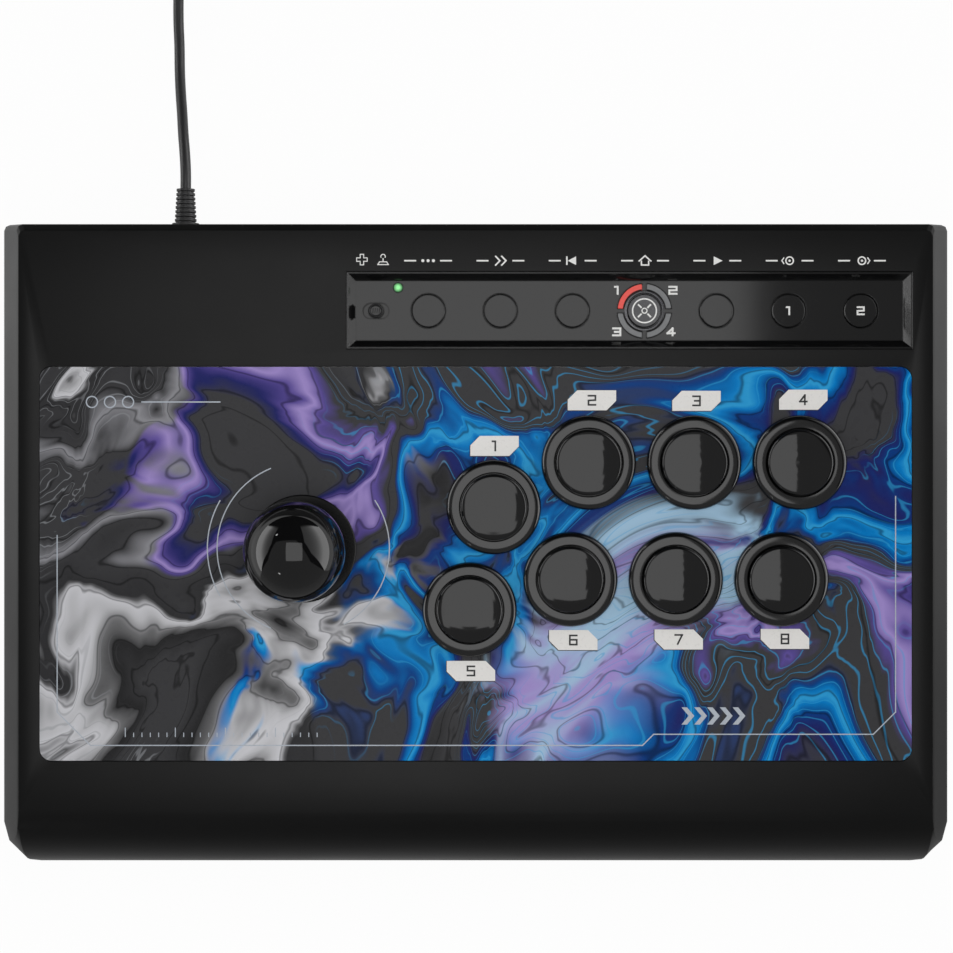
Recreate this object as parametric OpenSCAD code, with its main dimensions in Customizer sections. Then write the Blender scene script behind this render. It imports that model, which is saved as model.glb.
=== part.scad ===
// An arcade fight stick: a wide case with a ball-top lever, eight push buttons and a strip of small keys.
// The origin is on the floor under the middle of the case, with +Y to the rear and +Z up.

/* [Case] */
// Width of the case at its belt, where it is widest
case_w = 348; // [340:1:400]
// Depth of the case, from the front edge to the rear wall at the belt
case_d = 238.2; // [234:0.2:280]
// Height of the top face above the floor
case_h = 58; // [54:0.5:75]
// How far each side leans in from the belt to the top face
side_lean = 9.5; // [5:0.5:11]
// Height from the belt up to the top face
belt_drop = 22; // [15:0.5:30]
// How far each side leans in from the belt to the parting line
belt_lean = 3; // [0.5:0.5:6]
// How far the nose reaches forward from the front edge of the top face
nose_run = 25; // [20:0.2:26]
// How far the nose leans back from the front edge to the belt
nose_skirt = 4.2; // [3.8:0.1:6]
// How far the fold of the front corners lies in front of the flat top face
corner_run = 6.8; // [4:0.2:10]
// How far the rear wall leans in from the belt to the bevel above it
rear_lean = 1.8; // [0.4:0.1:3]
// Size of the bevel along the rear edge of the top face
rear_bevel = 2.4; // [1.6:0.1:5]
// Size of the rounded corners at the rear
rear_round = 2.2; // [1:0.1:6]
// Thickness of the side walls
wall = 3; // [2:0.1:3.6]
// Thickness of the top wall
top_wall = 2.6; // [2:0.1:3]
// Height of the bottom case, from its underside to the parting line
base_h = 10; // [8:0.5:12]
// Thickness of the bottom case's floor
base_wall = 3; // [2.4:0.1:4]
// How far the bottom case leans in below the parting line
base_lean = 5; // [2:0.5:8]
// Height of the lip that centres the top case on the bottom case
lip_h = 2; // [1:0.5:4]
// Thickness of that lip
lip_t = 1.2; // [0.8:0.1:2]

/* [Feet and case screws] */
// Diameter of a rubber foot
foot_d = 18; // [12:1:20]
// How far a rubber foot stands below the bottom case
foot_h = 3; // [2:0.5:5]
// How deep a rubber foot sits in its pocket
foot_sink = 1; // [0.5:0.1:1.6]
// Distance of the feet from the left and right sides
foot_side = 34; // [28:1:60]
// Distance of the feet from the front and rear edges
foot_end = 38; // [36:1:60]
// Diameter of the screw bosses
boss_d = 8; // [6.5:0.5:9]
// Gap between a screw boss and the wall beside it
boss_gap = 1.7; // [0.5:0.1:2.4]
// Distance of the outer screw bosses from the middle of the case
boss_far = 150; // [140:1:152]
// Distance of the inner screw bosses from the middle of the case
boss_near = 50; // [30:1:80]
// Diameter of a case screw
case_screw_d = 3; // [2.5:0.5:3.5]
// Length of a case screw under its head
case_screw_l = 22; // [16:1:30]

/* [Art panel] */
// Width of the art panel
panel_w = 314; // [300:1:316]
// Depth of the art panel
panel_d = 142; // [138:1:143]
// Place of the art panel's middle, towards the rear
panel_y = -5.1; // [-5.9:0.1:-4.9]
// Radius of the art panel's corners
panel_r = 4.5; // [3:0.5:10]
// Thickness of the steel plate under the art panel
plate_t = 1.6; // [1.2:0.1:2]
// How far the steel plate reaches under the case at the left and right
plate_side = 5; // [4:0.1:5.4]
// How far the steel plate reaches under the case at the front
plate_front = 8.8; // [7:0.1:9]
// How far the steel plate reaches under the case at the rear
plate_rear = 2.8; // [1:0.1:3]
// Diameter of the hole for the lever in the panel and the plate
lever_hole_d = 24; // [20:1:28]
// Diameter of a plate screw
plate_screw_d = 2.5; // [2:0.1:3]

/* [Buttons] */
// Diameter of the mounting holes for the buttons
button_hole_d = 30; // [29:0.1:30.4]
// Diameter of a button's rim
rim_d = 34; // [32:0.1:35]
// Height of a button's rim above the panel
rim_h = 3; // [2:0.1:4]
// Depth of a button's barrel below the panel
barrel_depth = 18; // [17:0.5:20]
// Wall of a button's barrel
barrel_wall = 1.2; // [1:0.1:1.4]
// Diameter of a plunger
plunger_d = 23.6; // [23:0.1:25]
// Height of a plunger's crown above the rim
plunger_rise = 2.3; // [1.5:0.1:3.5]
// Radius of the shallow dome on a plunger
dome_r = 66.5; // [50:0.5:300]
// How far a plunger travels
button_travel = 3.5; // [2:0.1:4]
// Spacing of the buttons in a row
button_pitch = 37.9; // [37:0.1:39]
// Place of the second upper button, to the right
button_x = 40.6; // [38:0.1:42]
// Place of the second upper button, to the rear
button_y = 31.3; // [29:0.1:33]
// Distance between the upper and the lower row
row_gap = 41.9; // [40:0.1:44]
// How far the lower row is shifted to the left
row_shift = 6.6; // [0:0.1:8]
// Spacing of the first two upper buttons
first_gap_upper = 34.1; // [33:0.1:36]
// Spacing of the first two lower buttons
first_gap_lower = 36.2; // [35:0.1:37]
// How far the first upper button sits below its row
first_drop_upper = 16; // [10:0.1:17]
// How far the first lower button sits below its row
first_drop_lower = 10.9; // [8:0.1:12]

/* [Control strip] */
// Width of the control strip
strip_w = 204; // [202:1:208]
// Depth of the control strip, front to rear
strip_d = 28; // [26:0.5:29]
// Place of the strip's middle, to the right
strip_x = 55.4; // [52:0.1:56]
// Place of the strip's middle, to the rear
strip_y = 86.1; // [85.7:0.1:87.1]
// How deep the strip's floor lies below the top face
strip_recess = 3; // [2:0.1:4]
// Width of the sloped walls around the floor
strip_slope = 3.2; // [2:0.1:4]
// Thickness of the strip's floor
strip_floor = 2; // [1.4:0.1:2.4]
// How far the strip's flange reaches under the case
strip_flange = 2.5; // [1.5:0.1:2.6]
// Diameter of a round key
key_d = 12; // [10:0.1:12.4]
// Spacing of the keys
key_pitch = 26; // [25:0.1:27]
// Place of the middle key, to the right of the strip's middle
key_shift = 5.5; // [2:0.1:6]
// How far a key travels
key_travel = 0.6; // [0.3:0.05:0.8]
// Outer diameter of the light ring around the home key
ring_od = 19.8; // [18:0.1:21]
// Inner diameter of the light ring around the home key
ring_id = 14.7; // [14.4:0.1:15.6]
// Width of the four bridges that cross the light ring
ring_bridge = 1.6; // [1:0.1:2.4]
// Place of the mode switch, to the left of the strip's middle
mode_shift = 91.4; // [88:0.1:92]
// Length of the mode switch's cap
mode_cap_l = 5.6; // [5:0.1:7.5]
// Width of the mode switch's cap
mode_cap_w = 4.9; // [4.5:0.1:5.8]
// How far the mode switch slides each way
mode_travel = 1.5; // [1:0.1:2.4]
// Diameter of the status light
led_d = 3; // [2.5:0.1:3.4]
// Distance of the status light from the mode switch, to the right
led_dx = 8; // [7:0.1:10]
// Distance of the status light from the mode switch, to the rear
led_dy = 8.4; // [7.6:0.1:8.8]

/* [Lever] */
// Place of the lever, to the right of the middle
lever_x = -62; // [-66:0.5:-60]
// Place of the lever, to the rear of the middle
lever_y = 0.5; // [-5:0.1:7]
// Diameter of the ball top
ball_d = 35; // [30:0.5:40]
// Height of the ball's middle above the top face
ball_h = 42; // [38:0.5:50]
// Diameter of the dust washer
washer_d = 38.6; // [34:0.2:40]
// Thickness of the dust washer
washer_t = 1.2; // [0.8:0.1:2]
// Height of the dust washer above the panel, so that it clears it when the lever leans
washer_lift = 4.6; // [4.4:0.1:7]
// Diameter of the shaft
shaft_d = 8; // [7:0.5:9]
// Outer diameter of the shaft cover
cover_d = 11; // [10.4:0.1:13]
// Depth of the pivot's middle below the top face
pivot_drop = 16; // [15:0.5:17]
// Diameter of the spherical pivot
pivot_d = 18; // [17:0.5:18.5]
// Width of the lever's housing
housing_w = 62; // [58:1:64]
// Wall of the lever's housing
housing_wall = 3; // [2:0.1:3.4]
// Length of the housing below the pivot
housing_drop = 22; // [21:0.5:24]
// Length of the lever's mounting plate
mount_l = 95; // [93:1:98]
// Thickness of the lever's mounting plate
mount_t = 1.6; // [1.2:0.1:2]
// Spacing of the mounting plate's screws across the lever
mount_screw_x = 40; // [36:1:44]
// Spacing of the mounting plate's screws along the plate
mount_screw_y = 84; // [80:1:86]
// Diameter of the mounting plate's screws
mount_screw_d = 3.8; // [3:0.1:4]
// Diameter of the actuator
actuator_d = 13; // [12:0.1:13.4]
// Length of the actuator
actuator_l = 12.6; // [12:0.1:13]
// Thickness of the restrictor gate
gate_t = 3; // [2:0.1:3.2]
// How far the lever leans each way, in degrees
lean_deg = 8; // [5:0.5:8]

/* [Cable] */
// Diameter of the cable
cable_d = 4; // [3.6:0.1:4.4]
// Place of the cable, to the right of the middle
cable_x = -108; // [-112:1:-104]
// Height of the cable where it leaves the case
cable_h = 28; // [24:1:30]
// Length of the strain relief outside the case
relief_l = 14.2; // [12:0.1:16]
// Diameter of the strain relief at the case
relief_d = 8.4; // [8:0.1:9]
// Diameter of the strain relief at its tip
relief_tip_d = 6.8; // [6:0.1:7.4]
// Number of ribs on the strain relief
relief_ribs = 8; // [5:1:10]
// Turns in the wound part of the cable
coil_turns = 11.25; // [7.25:1:11.25]
// Layers in the wound part of the cable
coil_layers = 4; // [4:2:4]
// Diameter of the coil at the middle of its turns
coil_mid_d = 46; // [44:1:50]
// Spacing of the coil's turns and layers
coil_pitch = 4.5; // [4.45:0.05:5]
// Length of the plug's grip
plug_l = 28; // [24:1:34]
// Width of the plug's grip
plug_w = 15.6; // [14:0.2:17]
// Height of the plug's grip
plug_h = 8.4; // [7.6:0.2:9]

/* [Hidden] */
BUTTON_COUNT = 8;
KEY_COUNT = 7;
HOME_KEY = 3;
KEY_NAMES = ["key_1", "key_2", "key_3", "home_key", "key_5", "key_6", "key_7"];
$fn = 64;

// Overrun of every cut
over = 1;
// Gap between pieces that are fitted into each other and don't move
fit = 0.2;
// Gap between a screw or a shaft and its hole
hole_fit = 0.05;
// Gap between pieces that slide past each other
slide_gap = 0.3;
// Gap between a moving piece and its stop
stop_gap = 0.1;

// Heights in the case
z_under = case_h - top_wall;
z_part = foot_h + base_h;
z_belt = case_h - belt_drop;
z_shoulder = case_h - rear_bevel;
z_floor = foot_h + base_wall;
z_plate = z_under - plate_t;

// Outline of the case at each height, as pairs of a height and a size
y_front = -case_d / 2;
y_rear = case_d / 2;
// The nose is an elliptic arc from the top face down to the belt, with a straight skirt below
nose_sweep = 76;
nose_steps = 8;
nose_round = [(nose_run - nose_skirt) / sin(nose_sweep), belt_drop / (1 - cos(nose_sweep))];
NOSE = [for (s = [nose_steps:-1:0]) let (a = nose_sweep * s / nose_steps)
    [case_h - nose_round.y * (1 - cos(a)), y_front + nose_run - nose_round.x * sin(a)]];
top_half = case_w / 2 - side_lean;
part_half = case_w / 2 - belt_lean;
HALF_AT = [[foot_h, part_half - base_lean], [z_part, part_half], [z_belt, case_w / 2], [case_h, top_half]];
FRONT_AT = concat([[foot_h, y_front + base_lean], [z_part, y_front]], NOSE);
y_shoulder = y_rear - rear_lean;
REAR_AT = [[foot_h, y_rear - base_lean], [z_part, y_rear], [z_belt, y_rear], [z_shoulder, y_shoulder],
    [case_h, y_shoulder - rear_bevel]];
// The front face is as wide as the top face, and the corners run back from it to a fold in the sides
y_fold = y_front + nose_run - corner_run;
FACE_AT = [[foot_h, top_half - base_lean], [z_part, top_half], [case_h, top_half]];
FOLD_AT = [[foot_h, y_fold + base_lean], [z_part, y_fold], [case_h, y_fold]];
edge_cut = 0.3;
corner_shares = [0.2, 0.5];

// Screw bosses that join the two halves of the case
boss_r = boss_d / 2;
boss_rear_y = y_shoulder - wall - boss_r - boss_gap;
boss_front_y = lookup(z_under, FRONT_AT) + wall + boss_r + boss_gap;
BOSSES = [for (y = [boss_front_y, boss_rear_y]) for (x = [-boss_far, -boss_near, boss_near, boss_far])
    [x, y]];
case_screw_r = case_screw_d / 2;
case_head_d = 5.6;
case_head_h = 2;
case_screw_z = foot_h + case_head_h;
screw_tip_gap = 1;
FEET = [for (x = [-1, 1]) for (y = [-1, 1]) [x * (case_w / 2 - foot_side), y * (case_d / 2 - foot_end)]];

// Steel plate and its screws
plate_half = panel_w / 2 + plate_side;
plate_front_y = panel_y - panel_d / 2 - plate_front;
plate_rear_y = panel_y + panel_d / 2 + plate_rear;
plate_r = panel_r;
plate_screw_r = plate_screw_d / 2;
plate_head_d = 4.6;
plate_head_h = 1.4;
plate_screw_wall = 0.6;
plate_screw_side = panel_w / 2 + plate_side / 2;
plate_screw_front = panel_y - panel_d / 2 - plate_front / 2;
plate_screw_step = 52;
plate_screw_span = 100;
PLATE_SCREWS = concat(
    [for (x = [-1, 1]) for (y = [-1, 0, 1]) [x * plate_screw_side, panel_y + y * plate_screw_step]],
    [for (x = [-1, 0, 1]) [x * plate_screw_span, plate_screw_front]]
);

// Places of the buttons, upper row first, each row from the left
lower_x = button_x - row_shift;
lower_y = button_y - row_gap;
BUTTONS = concat(
    [[button_x - first_gap_upper, button_y - first_drop_upper]],
    [for (i = [0:2]) [button_x + i * button_pitch, button_y]],
    [[lower_x - first_gap_lower, lower_y - first_drop_lower]],
    [for (i = [0:2]) [lower_x + i * button_pitch, lower_y]]
);
barrel_r = button_hole_d / 2 - fit;
barrel_floor = 2;
plunger_r = plunger_d / 2;
plunger_flange_h = 1.8;
plunger_wall = 1.5;
plunger_edge_r = 1;
crown_steps = 4;
rim_edge_h = 1;
rim_edge_w = 2.1;
rim_crown_r = 9;
rim_lip = 0.4;
rim_steps = 5;
ledge_depth = 3;
stem_d = 5;
stem_dip = 1;
tab_w = 5;
tab_h = 4.6;
tab_out = 0.9;
switch_size = [12.8, 19.8, 9];
well_slack = 2;
switch_well = button_travel - barrel_floor + stem_dip + well_slack;
terminal_size = [0.6, 4.8, 4.5];
terminal_gap = 7;

// Control strip, its keys and what lies under them
strip_floor_z = case_h - strip_recess;
strip_under = strip_floor_z - strip_floor;
strip_rim = 0.6;
key_r = key_d / 2;
key_rise = 0.3;
key_flange = 0.8;
key_flange_h = 1.2;
key_edge = 0.3;
key_stem_d = 4.4;
KEYS = [for (i = [0:KEY_COUNT - 1]) [strip_x + key_shift + (i - HOME_KEY) * key_pitch, strip_y]];
key_flange_top = strip_under - stop_gap;
key_stem_h = 1.5;
key_bottom = key_flange_top - key_flange_h - key_stem_h;
tact_top = key_bottom - key_travel - stop_gap;
tact_size = [6, 6, 3.5];
tact_knob_d = 3.4;
tact_knob_h = 1;
board_t = 1.6;
board_top = tact_top - tact_knob_h - tact_size.z;
board_under = board_top - board_t;
board_side = 6;
board_d = 22;
post_d = 5.6;
post_shares = [0.5, 1.5, 4.5, 5.5];
BOARD_POSTS = [for (s = post_shares) [KEYS[0].x + s * key_pitch, strip_y]];
board_screw_d = 2.2;
board_head_d = 4;
board_head_h = 1.6;
board_screw_l = 7;
ring_base_lip = 0.3;
ring_base_h = 1.2;
mode_x = strip_x - mode_shift;
mode_rise = 0.6;
mode_plate_t = 1;
mode_plate_w = 8;
mode_plate_lap = 0.5;
mode_slot_l = mode_cap_l + 2 * mode_travel + 2 * slide_gap;
mode_slot_w = mode_cap_w + 2 * slide_gap;
mode_plate_l = mode_slot_l + 2 * mode_travel + 2 * mode_plate_lap;
mode_plate_z = strip_under - stop_gap - mode_plate_t;
mode_post = [3, 1.6, 2.7];
mode_body_l = 13;
mode_body_w = 5.4;
mode_body_gap = 1.7;
mode_body_top = mode_plate_z - mode_body_gap;
mode_well = [mode_post.x + 2 * mode_travel + 2 * slide_gap, mode_post.y + 2 * slide_gap, 1.5];
led_pos = [mode_x + led_dx, strip_y + led_dy];
led_rise = 0.2;
led_h = 6;
led_flange = 0.4;
led_flange_h = 1;
led_leg_d = 0.6;
led_leg_gap = 1.6;

// Lever, from the top down
z_pivot = case_h - pivot_drop;
z_ball = case_h + ball_h;
shaft_r = shaft_d / 2;
pivot_r = pivot_d / 2;
pivot_half = 6.5;
pivot_top = z_pivot + pivot_half;
collar_d = 11.2;
collar_h = 1.4;
cover_bottom = pivot_top + stop_gap + collar_h + stop_gap;
ball_gap = 0.3;
cover_top = z_ball - ball_d / 2 - ball_gap;
neck_d = 6;
neck_l = 12.5;
washer_edge = 0.4;
mount_z = z_plate - mount_t;
mount_r = 3;
mount_hole_d = 20;
socket_gap = 0.1;
socket_wall = 3.6;
socket_floor = 6;
socket_top_gap = 0.4;
socket_top_r = pivot_r + socket_top_gap;
z_web = z_pivot - socket_floor;
web_t = 3;
z_housing = z_pivot - housing_drop;
post_inset = 3.5;
housing_post_r = 3.5;
HOUSING_POSTS = [for (x = [-1, 1]) for (y = [-1, 1]) [x, y] * (housing_w / 2 - post_inset)];
long_screw_d = 3;
long_head_d = 5.4;
long_head_h = 2.4;
gate_z = z_housing - gate_t;
actuator_r = actuator_d / 2;
spring_room = 9.4;
actuator_top = z_web - spring_room;
actuator_z = actuator_top - actuator_l;
gate_half = actuator_r * cos(lean_deg) + (z_pivot - gate_z) * sin(lean_deg) + slide_gap;
gate_r = 2;
clip_t = 1;
clip_d = 12;
clip_mouth = 5.6;
groove_d = 6.4;
shaft_tail = 1.6;
clip_z = actuator_z - stop_gap - clip_t;
shaft_z = clip_z - stop_gap - shaft_tail;
lever_board_gap = 4.5;
lever_board_w = housing_w - 2 * (housing_wall + lever_board_gap);
micro_size = [6.4, 19, 10];
micro_gap = 3.5;
plug_size = [8, 5, 6];
plug_inset = 6;
plug_off = lever_board_w / 2 - plug_inset;
window_w = 10;
window_h = 8;
spring_wire = 1.2;
spring_turns = 4.5;
spring_foot_r = 5.7;
spring_head_r = 8;
spring_rings = 12;
spring_sides = 6;

// Main board, in the rear left of the bottom case
main_board = [66, 42];
main_board_pos = [-117, 82.1];
main_board_z = 14;
main_post_d = 6;
main_post_in = 4;
MAIN_POSTS = [for (x = [-1, 1]) for (y = [-1, 1])
    main_board_pos + [x * (main_board.x / 2 - main_post_in), y * (main_board.y / 2 - main_post_in)]];
chip_size = [12, 12, 1.6];
socket_size = [10, 6, 5.4];
main_board_top = main_board_z + board_t;
cable_socket_y = 14;
lever_socket_at = [20, -12];
strip_socket_at = [24, -4];
button_socket_at = [7, -14];
CABLE_SOCKET = [cable_x, main_board_pos.y + cable_socket_y];
LEVER_SOCKET = main_board_pos + lever_socket_at;
STRIP_SOCKET = main_board_pos + strip_socket_at;
BUTTON_SOCKET = main_board_pos + button_socket_at;
wire_d = 3;
branch_d = 1.6;
bead_share = 1.2;
wire_sides = 16;
trunk_y = 10.1;
trunk_z = 22;

// Cable: the ends of its route meet the strain relief, the coil and the plug
cable_r = cable_d / 2;
relief_y = y_rear + relief_l;
relief_flange_d = 13;
relief_flange_t = 2;
relief_collar_d = 10;
relief_collar_t = 1.4;
relief_neck_d = 9;
rib_depth = 0.5;
// Offsets of the cable's points from the strain relief's tip, with their heights as shares of the fall
RUN = [[0, 0], [0, 6], [-0.5, 13], [-1.5, 21], [-2.7, 30], [-4, 39], [-5, 48], [-5.5, 58], [-6, 68], [-6, 79],
    [-6, 90], [-6, 97]];
run_shares = [1, 1, 0.94, 0.81, 0.58, 0.35, 0.15, 0.04, 0, 0, 0, 0.02];
tie_w = 10;
tie_t = 0.6;
tie_gap = 0.4;
coil_z = cable_r + tie_gap + tie_t;
coil_dx = -6;
coil_dy = 114;
coil_lead = 6;
COIL_START = [cable_x + coil_dx, relief_y + coil_dy, coil_z];
CABLE_ROUTE = concat(
    [for (i = [0:len(RUN) - 1])
        [cable_x + RUN[i].x, relief_y + RUN[i].y, cable_r + (cable_h - cable_r) * run_shares[i]]],
    [COIL_START - [0, cable_d + coil_lead, 0], COIL_START - [0, cable_d, 0]]
);
cable_sides = 8;
coil_sides = 6;
coil_rings = 24;
coil_span = coil_turns / coil_layers;
coil_out_r = coil_mid_d / 2 + coil_span * coil_pitch / 2;
coil_in_r = coil_mid_d / 2 - coil_span * coil_pitch / 2;
COIL_MID = [COIL_START.x + coil_out_r, COIL_START.y];
climb_share = 0.5;
COIL = coil_path();
COIL_END = COIL[len(COIL) - 1];
// Points of the lead from the coil to the plug: how far along, and their heights as shares of the fall
LEAD_RUN = [0, 4, 9, 17, 26, 34, 41, 46.7];
lead_shares = [1, 1, 0.9, 0.65, 0.31, 0.08, 0, 0];
plug_z = plug_h / 2 + fit;
LEAD = [for (i = [0:len(LEAD_RUN) - 1])
    [COIL_END.x + LEAD_RUN[i], COIL_END.y, plug_z + (COIL_END.z - plug_z) * lead_shares[i]]];
plug_mid = LEAD[len(LEAD) - 1];
plug_tip_share = 0.75;
plug_edge = 1.6;
shell_size = [18.6, 12, 4.5];
shell_t = 0.4;
tongue_t = 1.8;
tongue_short = 1;

// The direction of a path at one of its points
function path_dir(path, i) =
    let (a = path[max(i - 1, 0)], b = path[min(i + 1, len(path) - 1)]) (b - a) / norm(b - a);

// Corner points of a tube's ring, around one point of its path
function tube_ring(p, dir, r, sides) =
    let (s = cross(dir, [0, 0, 1]) / norm(cross(dir, [0, 0, 1])), u = cross(s, dir))
    [for (k = [0:sides - 1]) let (a = 360 * (k + 0.5) / sides) p + r * (cos(a) * s + sin(a) * u)];

// A closed tube swept along a path, with flat ends
module tube(path, r, sides) {
    n = len(path);
    points = [for (i = [0:n - 1]) each tube_ring(path[i], path_dir(path, i), r, sides)];
    skin = [for (i = [0:n - 2]) for (k = [0:sides - 1])
        let (a = i * sides + k, b = i * sides + (k + 1) % sides)
        each [[a, b, b + sides], [a, b + sides, a + sides]]];
    first = [for (k = [1:sides - 2]) [0, k + 1, k]];
    last = [for (k = [1:sides - 2]) [0, k, k + 1] + [1, 1, 1] * (n - 1) * sides];
    polyhedron(points, concat(skin, first, last));
}

// A closed solid through rings of points, each ring counterclockwise from above, from the lowest up
module loft(rings) {
    n = len(rings[0]);
    m = len(rings);
    skin = [for (i = [0:m - 2]) for (k = [0:n - 1])
        let (a = i * n + k, b = i * n + (k + 1) % n)
        each [[a, a + n, b + n], [a, b + n, b]]];
    first = [for (k = [0:n - 1]) k];
    last = [for (k = [n - 1:-1:0]) (m - 1) * n + k];
    polyhedron([for (ring = rings) each ring], concat(skin, [first, last]));
}

// Outline of the case at a height, drawn in by a margin, with the nose taken at another height above it
function case_ring(z, margin, at, rise = 0) =
    let (
        half = lookup(at, HALF_AT),
        front = lookup(at + rise, FRONT_AT),
        w = half - margin,
        f = front + margin,
        b = lookup(at, REAR_AT) - margin,
        cx = max(half - lookup(at, FACE_AT), edge_cut),
        cy = max(lookup(at, FOLD_AT) - front, edge_cut),
        sx = cx * corner_shares.x,
        sy = cy * corner_shares.y,
        k = rear_round * (1 - cos(45))
    )
    [[-w + cx, f, z], [w - cx, f, z], [w - sx, f + sy, z], [w, f + cy, z], [w, b - rear_round, z],
        [w - k, b - k, z], [w - rear_round, b, z], [-w + rear_round, b, z], [-w + k, b - k, z],
        [-w, b - rear_round, z], [-w, f + cy, z], [-w + sx, f + sy, z]];

// A plate with round corners, standing on height 0
module round_plate(w, d, r, h) {
    linear_extrude(h) {
        square([w - 2 * r, d], center = true);
        square([w, d - 2 * r], center = true);
        for (x = [-1, 1]) for (y = [-1, 1]) translate([x * (w / 2 - r), y * (d / 2 - r)]) circle(r);
    }
}

// A plate with half-round ends, along X
module slot_plate(l, w, h) {
    linear_extrude(h) {
        square([l - w, w], center = true);
        for (x = [-1, 1]) translate([x * (l - w) / 2, 0]) circle(w / 2);
    }
}

// A box centred in X and Y, standing on height 0
module block(size) {
    translate([-size.x / 2, -size.y / 2, 0]) cube(size);
}

// Copies of the children at each place of a list, at one height
module at_each(places, z) {
    for (p = places) translate([p.x, p.y, z]) children();
}

// A straight round rod between two points
module rod(a, b, r) {
    d = b - a;
    translate(a) rotate([0, acos(d.z / norm(d)), atan2(d.y, d.x)]) cylinder(r = r, h = norm(d));
}

// Round rods along a list of points, with a round bead at each bend
module wire(points, r) {
    for (i = [0:len(points) - 2]) rod(points[i], points[i + 1], r, $fn = wire_sides);
    for (i = [1:len(points) - 2]) translate(points[i]) sphere(r * bead_share, $fn = wire_sides);
}

// A screw that points up, its head standing on height 0
module screw_up(d, head_d, head_h, l) {
    cylinder(d = head_d, h = head_h);
    cylinder(d = d, h = head_h + l);
}

// Deep upper shell, open below
module top_case() {
    screw_room = case_screw_z + case_screw_l + screw_tip_gap - z_part;
    nose_z = [for (p = NOSE) p[0]];
    skin_z = concat([z_part], [for (z = nose_z) if (z < z_shoulder) z], [z_shoulder],
        [for (z = nose_z) if (z > z_shoulder) z]);
    room_z = concat([for (z = nose_z) if (z < z_under - over) z], [z_under]);
    color("#222324") difference() {
        union() {
            difference() {
                loft([for (z = skin_z) case_ring(z, 0, z)]);
                loft(concat([case_ring(z_part - over, wall, z_part), case_ring(z_part, wall, z_part)],
                    [for (z = room_z) case_ring(z, wall, z, top_wall)]));
            }
            at_each(BOSSES, z_part) cylinder(r = boss_r, h = z_under - z_part + fit);
        }
        at_each(BOSSES, z_part - over) cylinder(r = case_screw_r + hole_fit, h = screw_room + over);
        translate([0, panel_y, z_under - over]) round_plate(panel_w, panel_d, panel_r, top_wall + 2 * over);
        translate([strip_x, strip_y, z_under - over]) block([strip_w, strip_d, top_wall + 2 * over]);
        at_each(PLATE_SCREWS, z_under - over)
            cylinder(r = plate_screw_r + hole_fit, h = over + top_wall - plate_screw_wall);
        translate([cable_x, y_rear + over, cable_h])
            rotate([90, 0, 0]) cylinder(d = relief_neck_d + 2 * fit, h = wall + 2 * over);
    }
}

// Shallow tray that closes the case from below
module bottom_case() {
    lip_margin = wall + fit;
    z_lip = z_part + lip_h;
    color("#1c1c1d") difference() {
        union() {
            difference() {
                loft([case_ring(foot_h, 0, foot_h), case_ring(z_part, 0, z_part)]);
                loft([case_ring(z_floor, wall, z_floor), case_ring(z_part + over, wall, z_part)]);
            }
            difference() {
                loft([case_ring(z_floor, wall, z_floor), case_ring(z_part, wall, z_part),
                    case_ring(z_part + fit, lip_margin, z_part),
                    case_ring(z_lip, lip_margin, z_lip)]);
                loft([case_ring(z_floor - over, wall + lip_t, z_floor),
                    case_ring(z_part, lip_margin + lip_t, z_part),
                    case_ring(z_lip + over, lip_margin + lip_t, z_lip)]);
            }
            at_each(BOSSES, z_floor - fit) cylinder(r = boss_r, h = z_part - z_floor + fit);
            at_each(MAIN_POSTS, z_floor - fit) cylinder(d = main_post_d, h = main_board_z - z_floor + fit);
        }
        at_each(BOSSES, foot_h - over) {
            cylinder(r = case_screw_r + fit, h = base_h + 2 * over);
            cylinder(d = case_head_d + 2 * fit, h = case_head_h + over);
        }
        at_each(MAIN_POSTS, main_board_top - board_screw_l)
            cylinder(d = board_screw_d + 2 * hole_fit, h = board_screw_l);
        at_each(FEET, foot_h - over) cylinder(d = foot_d + 2 * fit, h = foot_sink + over);
    }
}

module rubber_feet() {
    color("#141414") at_each(FEET, 0) {
        cylinder(d = foot_d, h = foot_h + foot_sink);
    }
}

module case_screws() {
    color("#3a3a3c") at_each(BOSSES, foot_h) screw_up(case_screw_d, case_head_d, case_head_h, case_screw_l);
}

// Holes for the buttons and the lever
module control_holes(z, h) {
    at_each(BUTTONS, z) cylinder(d = button_hole_d, h = h);
    translate([lever_x, lever_y, z]) cylinder(d = lever_hole_d, h = h);
}

module mounting_plate() {
    plate_d = plate_rear_y - plate_front_y;
    color("#8d9093") difference() {
        translate([0, (plate_rear_y + plate_front_y) / 2, z_plate])
            round_plate(2 * plate_half, plate_d, plate_r, plate_t);
        control_holes(z_plate - over, plate_t + 2 * over);
        at_each(PLATE_SCREWS, z_plate - over) cylinder(r = plate_screw_r + hole_fit, h = plate_t + 2 * over);
        translate([lever_x, lever_y, z_plate - over]) at_each(mount_screw_places(), 0)
            cylinder(d = mount_screw_d + 2 * hole_fit, h = plate_t + 2 * over);
    }
}

module plate_screws() {
    color("#3a3a3c") at_each(PLATE_SCREWS, z_plate - plate_head_h)
        screw_up(plate_screw_d, plate_head_d, plate_head_h, plate_t + top_wall - 2 * plate_screw_wall);
}

module art_panel() {
    color("#35618c") difference() {
        translate([0, panel_y, z_under])
            round_plate(panel_w - 2 * fit, panel_d - 2 * fit, panel_r - fit, top_wall);
        control_holes(z_under - over, top_wall + 2 * over);
    }
}

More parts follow.
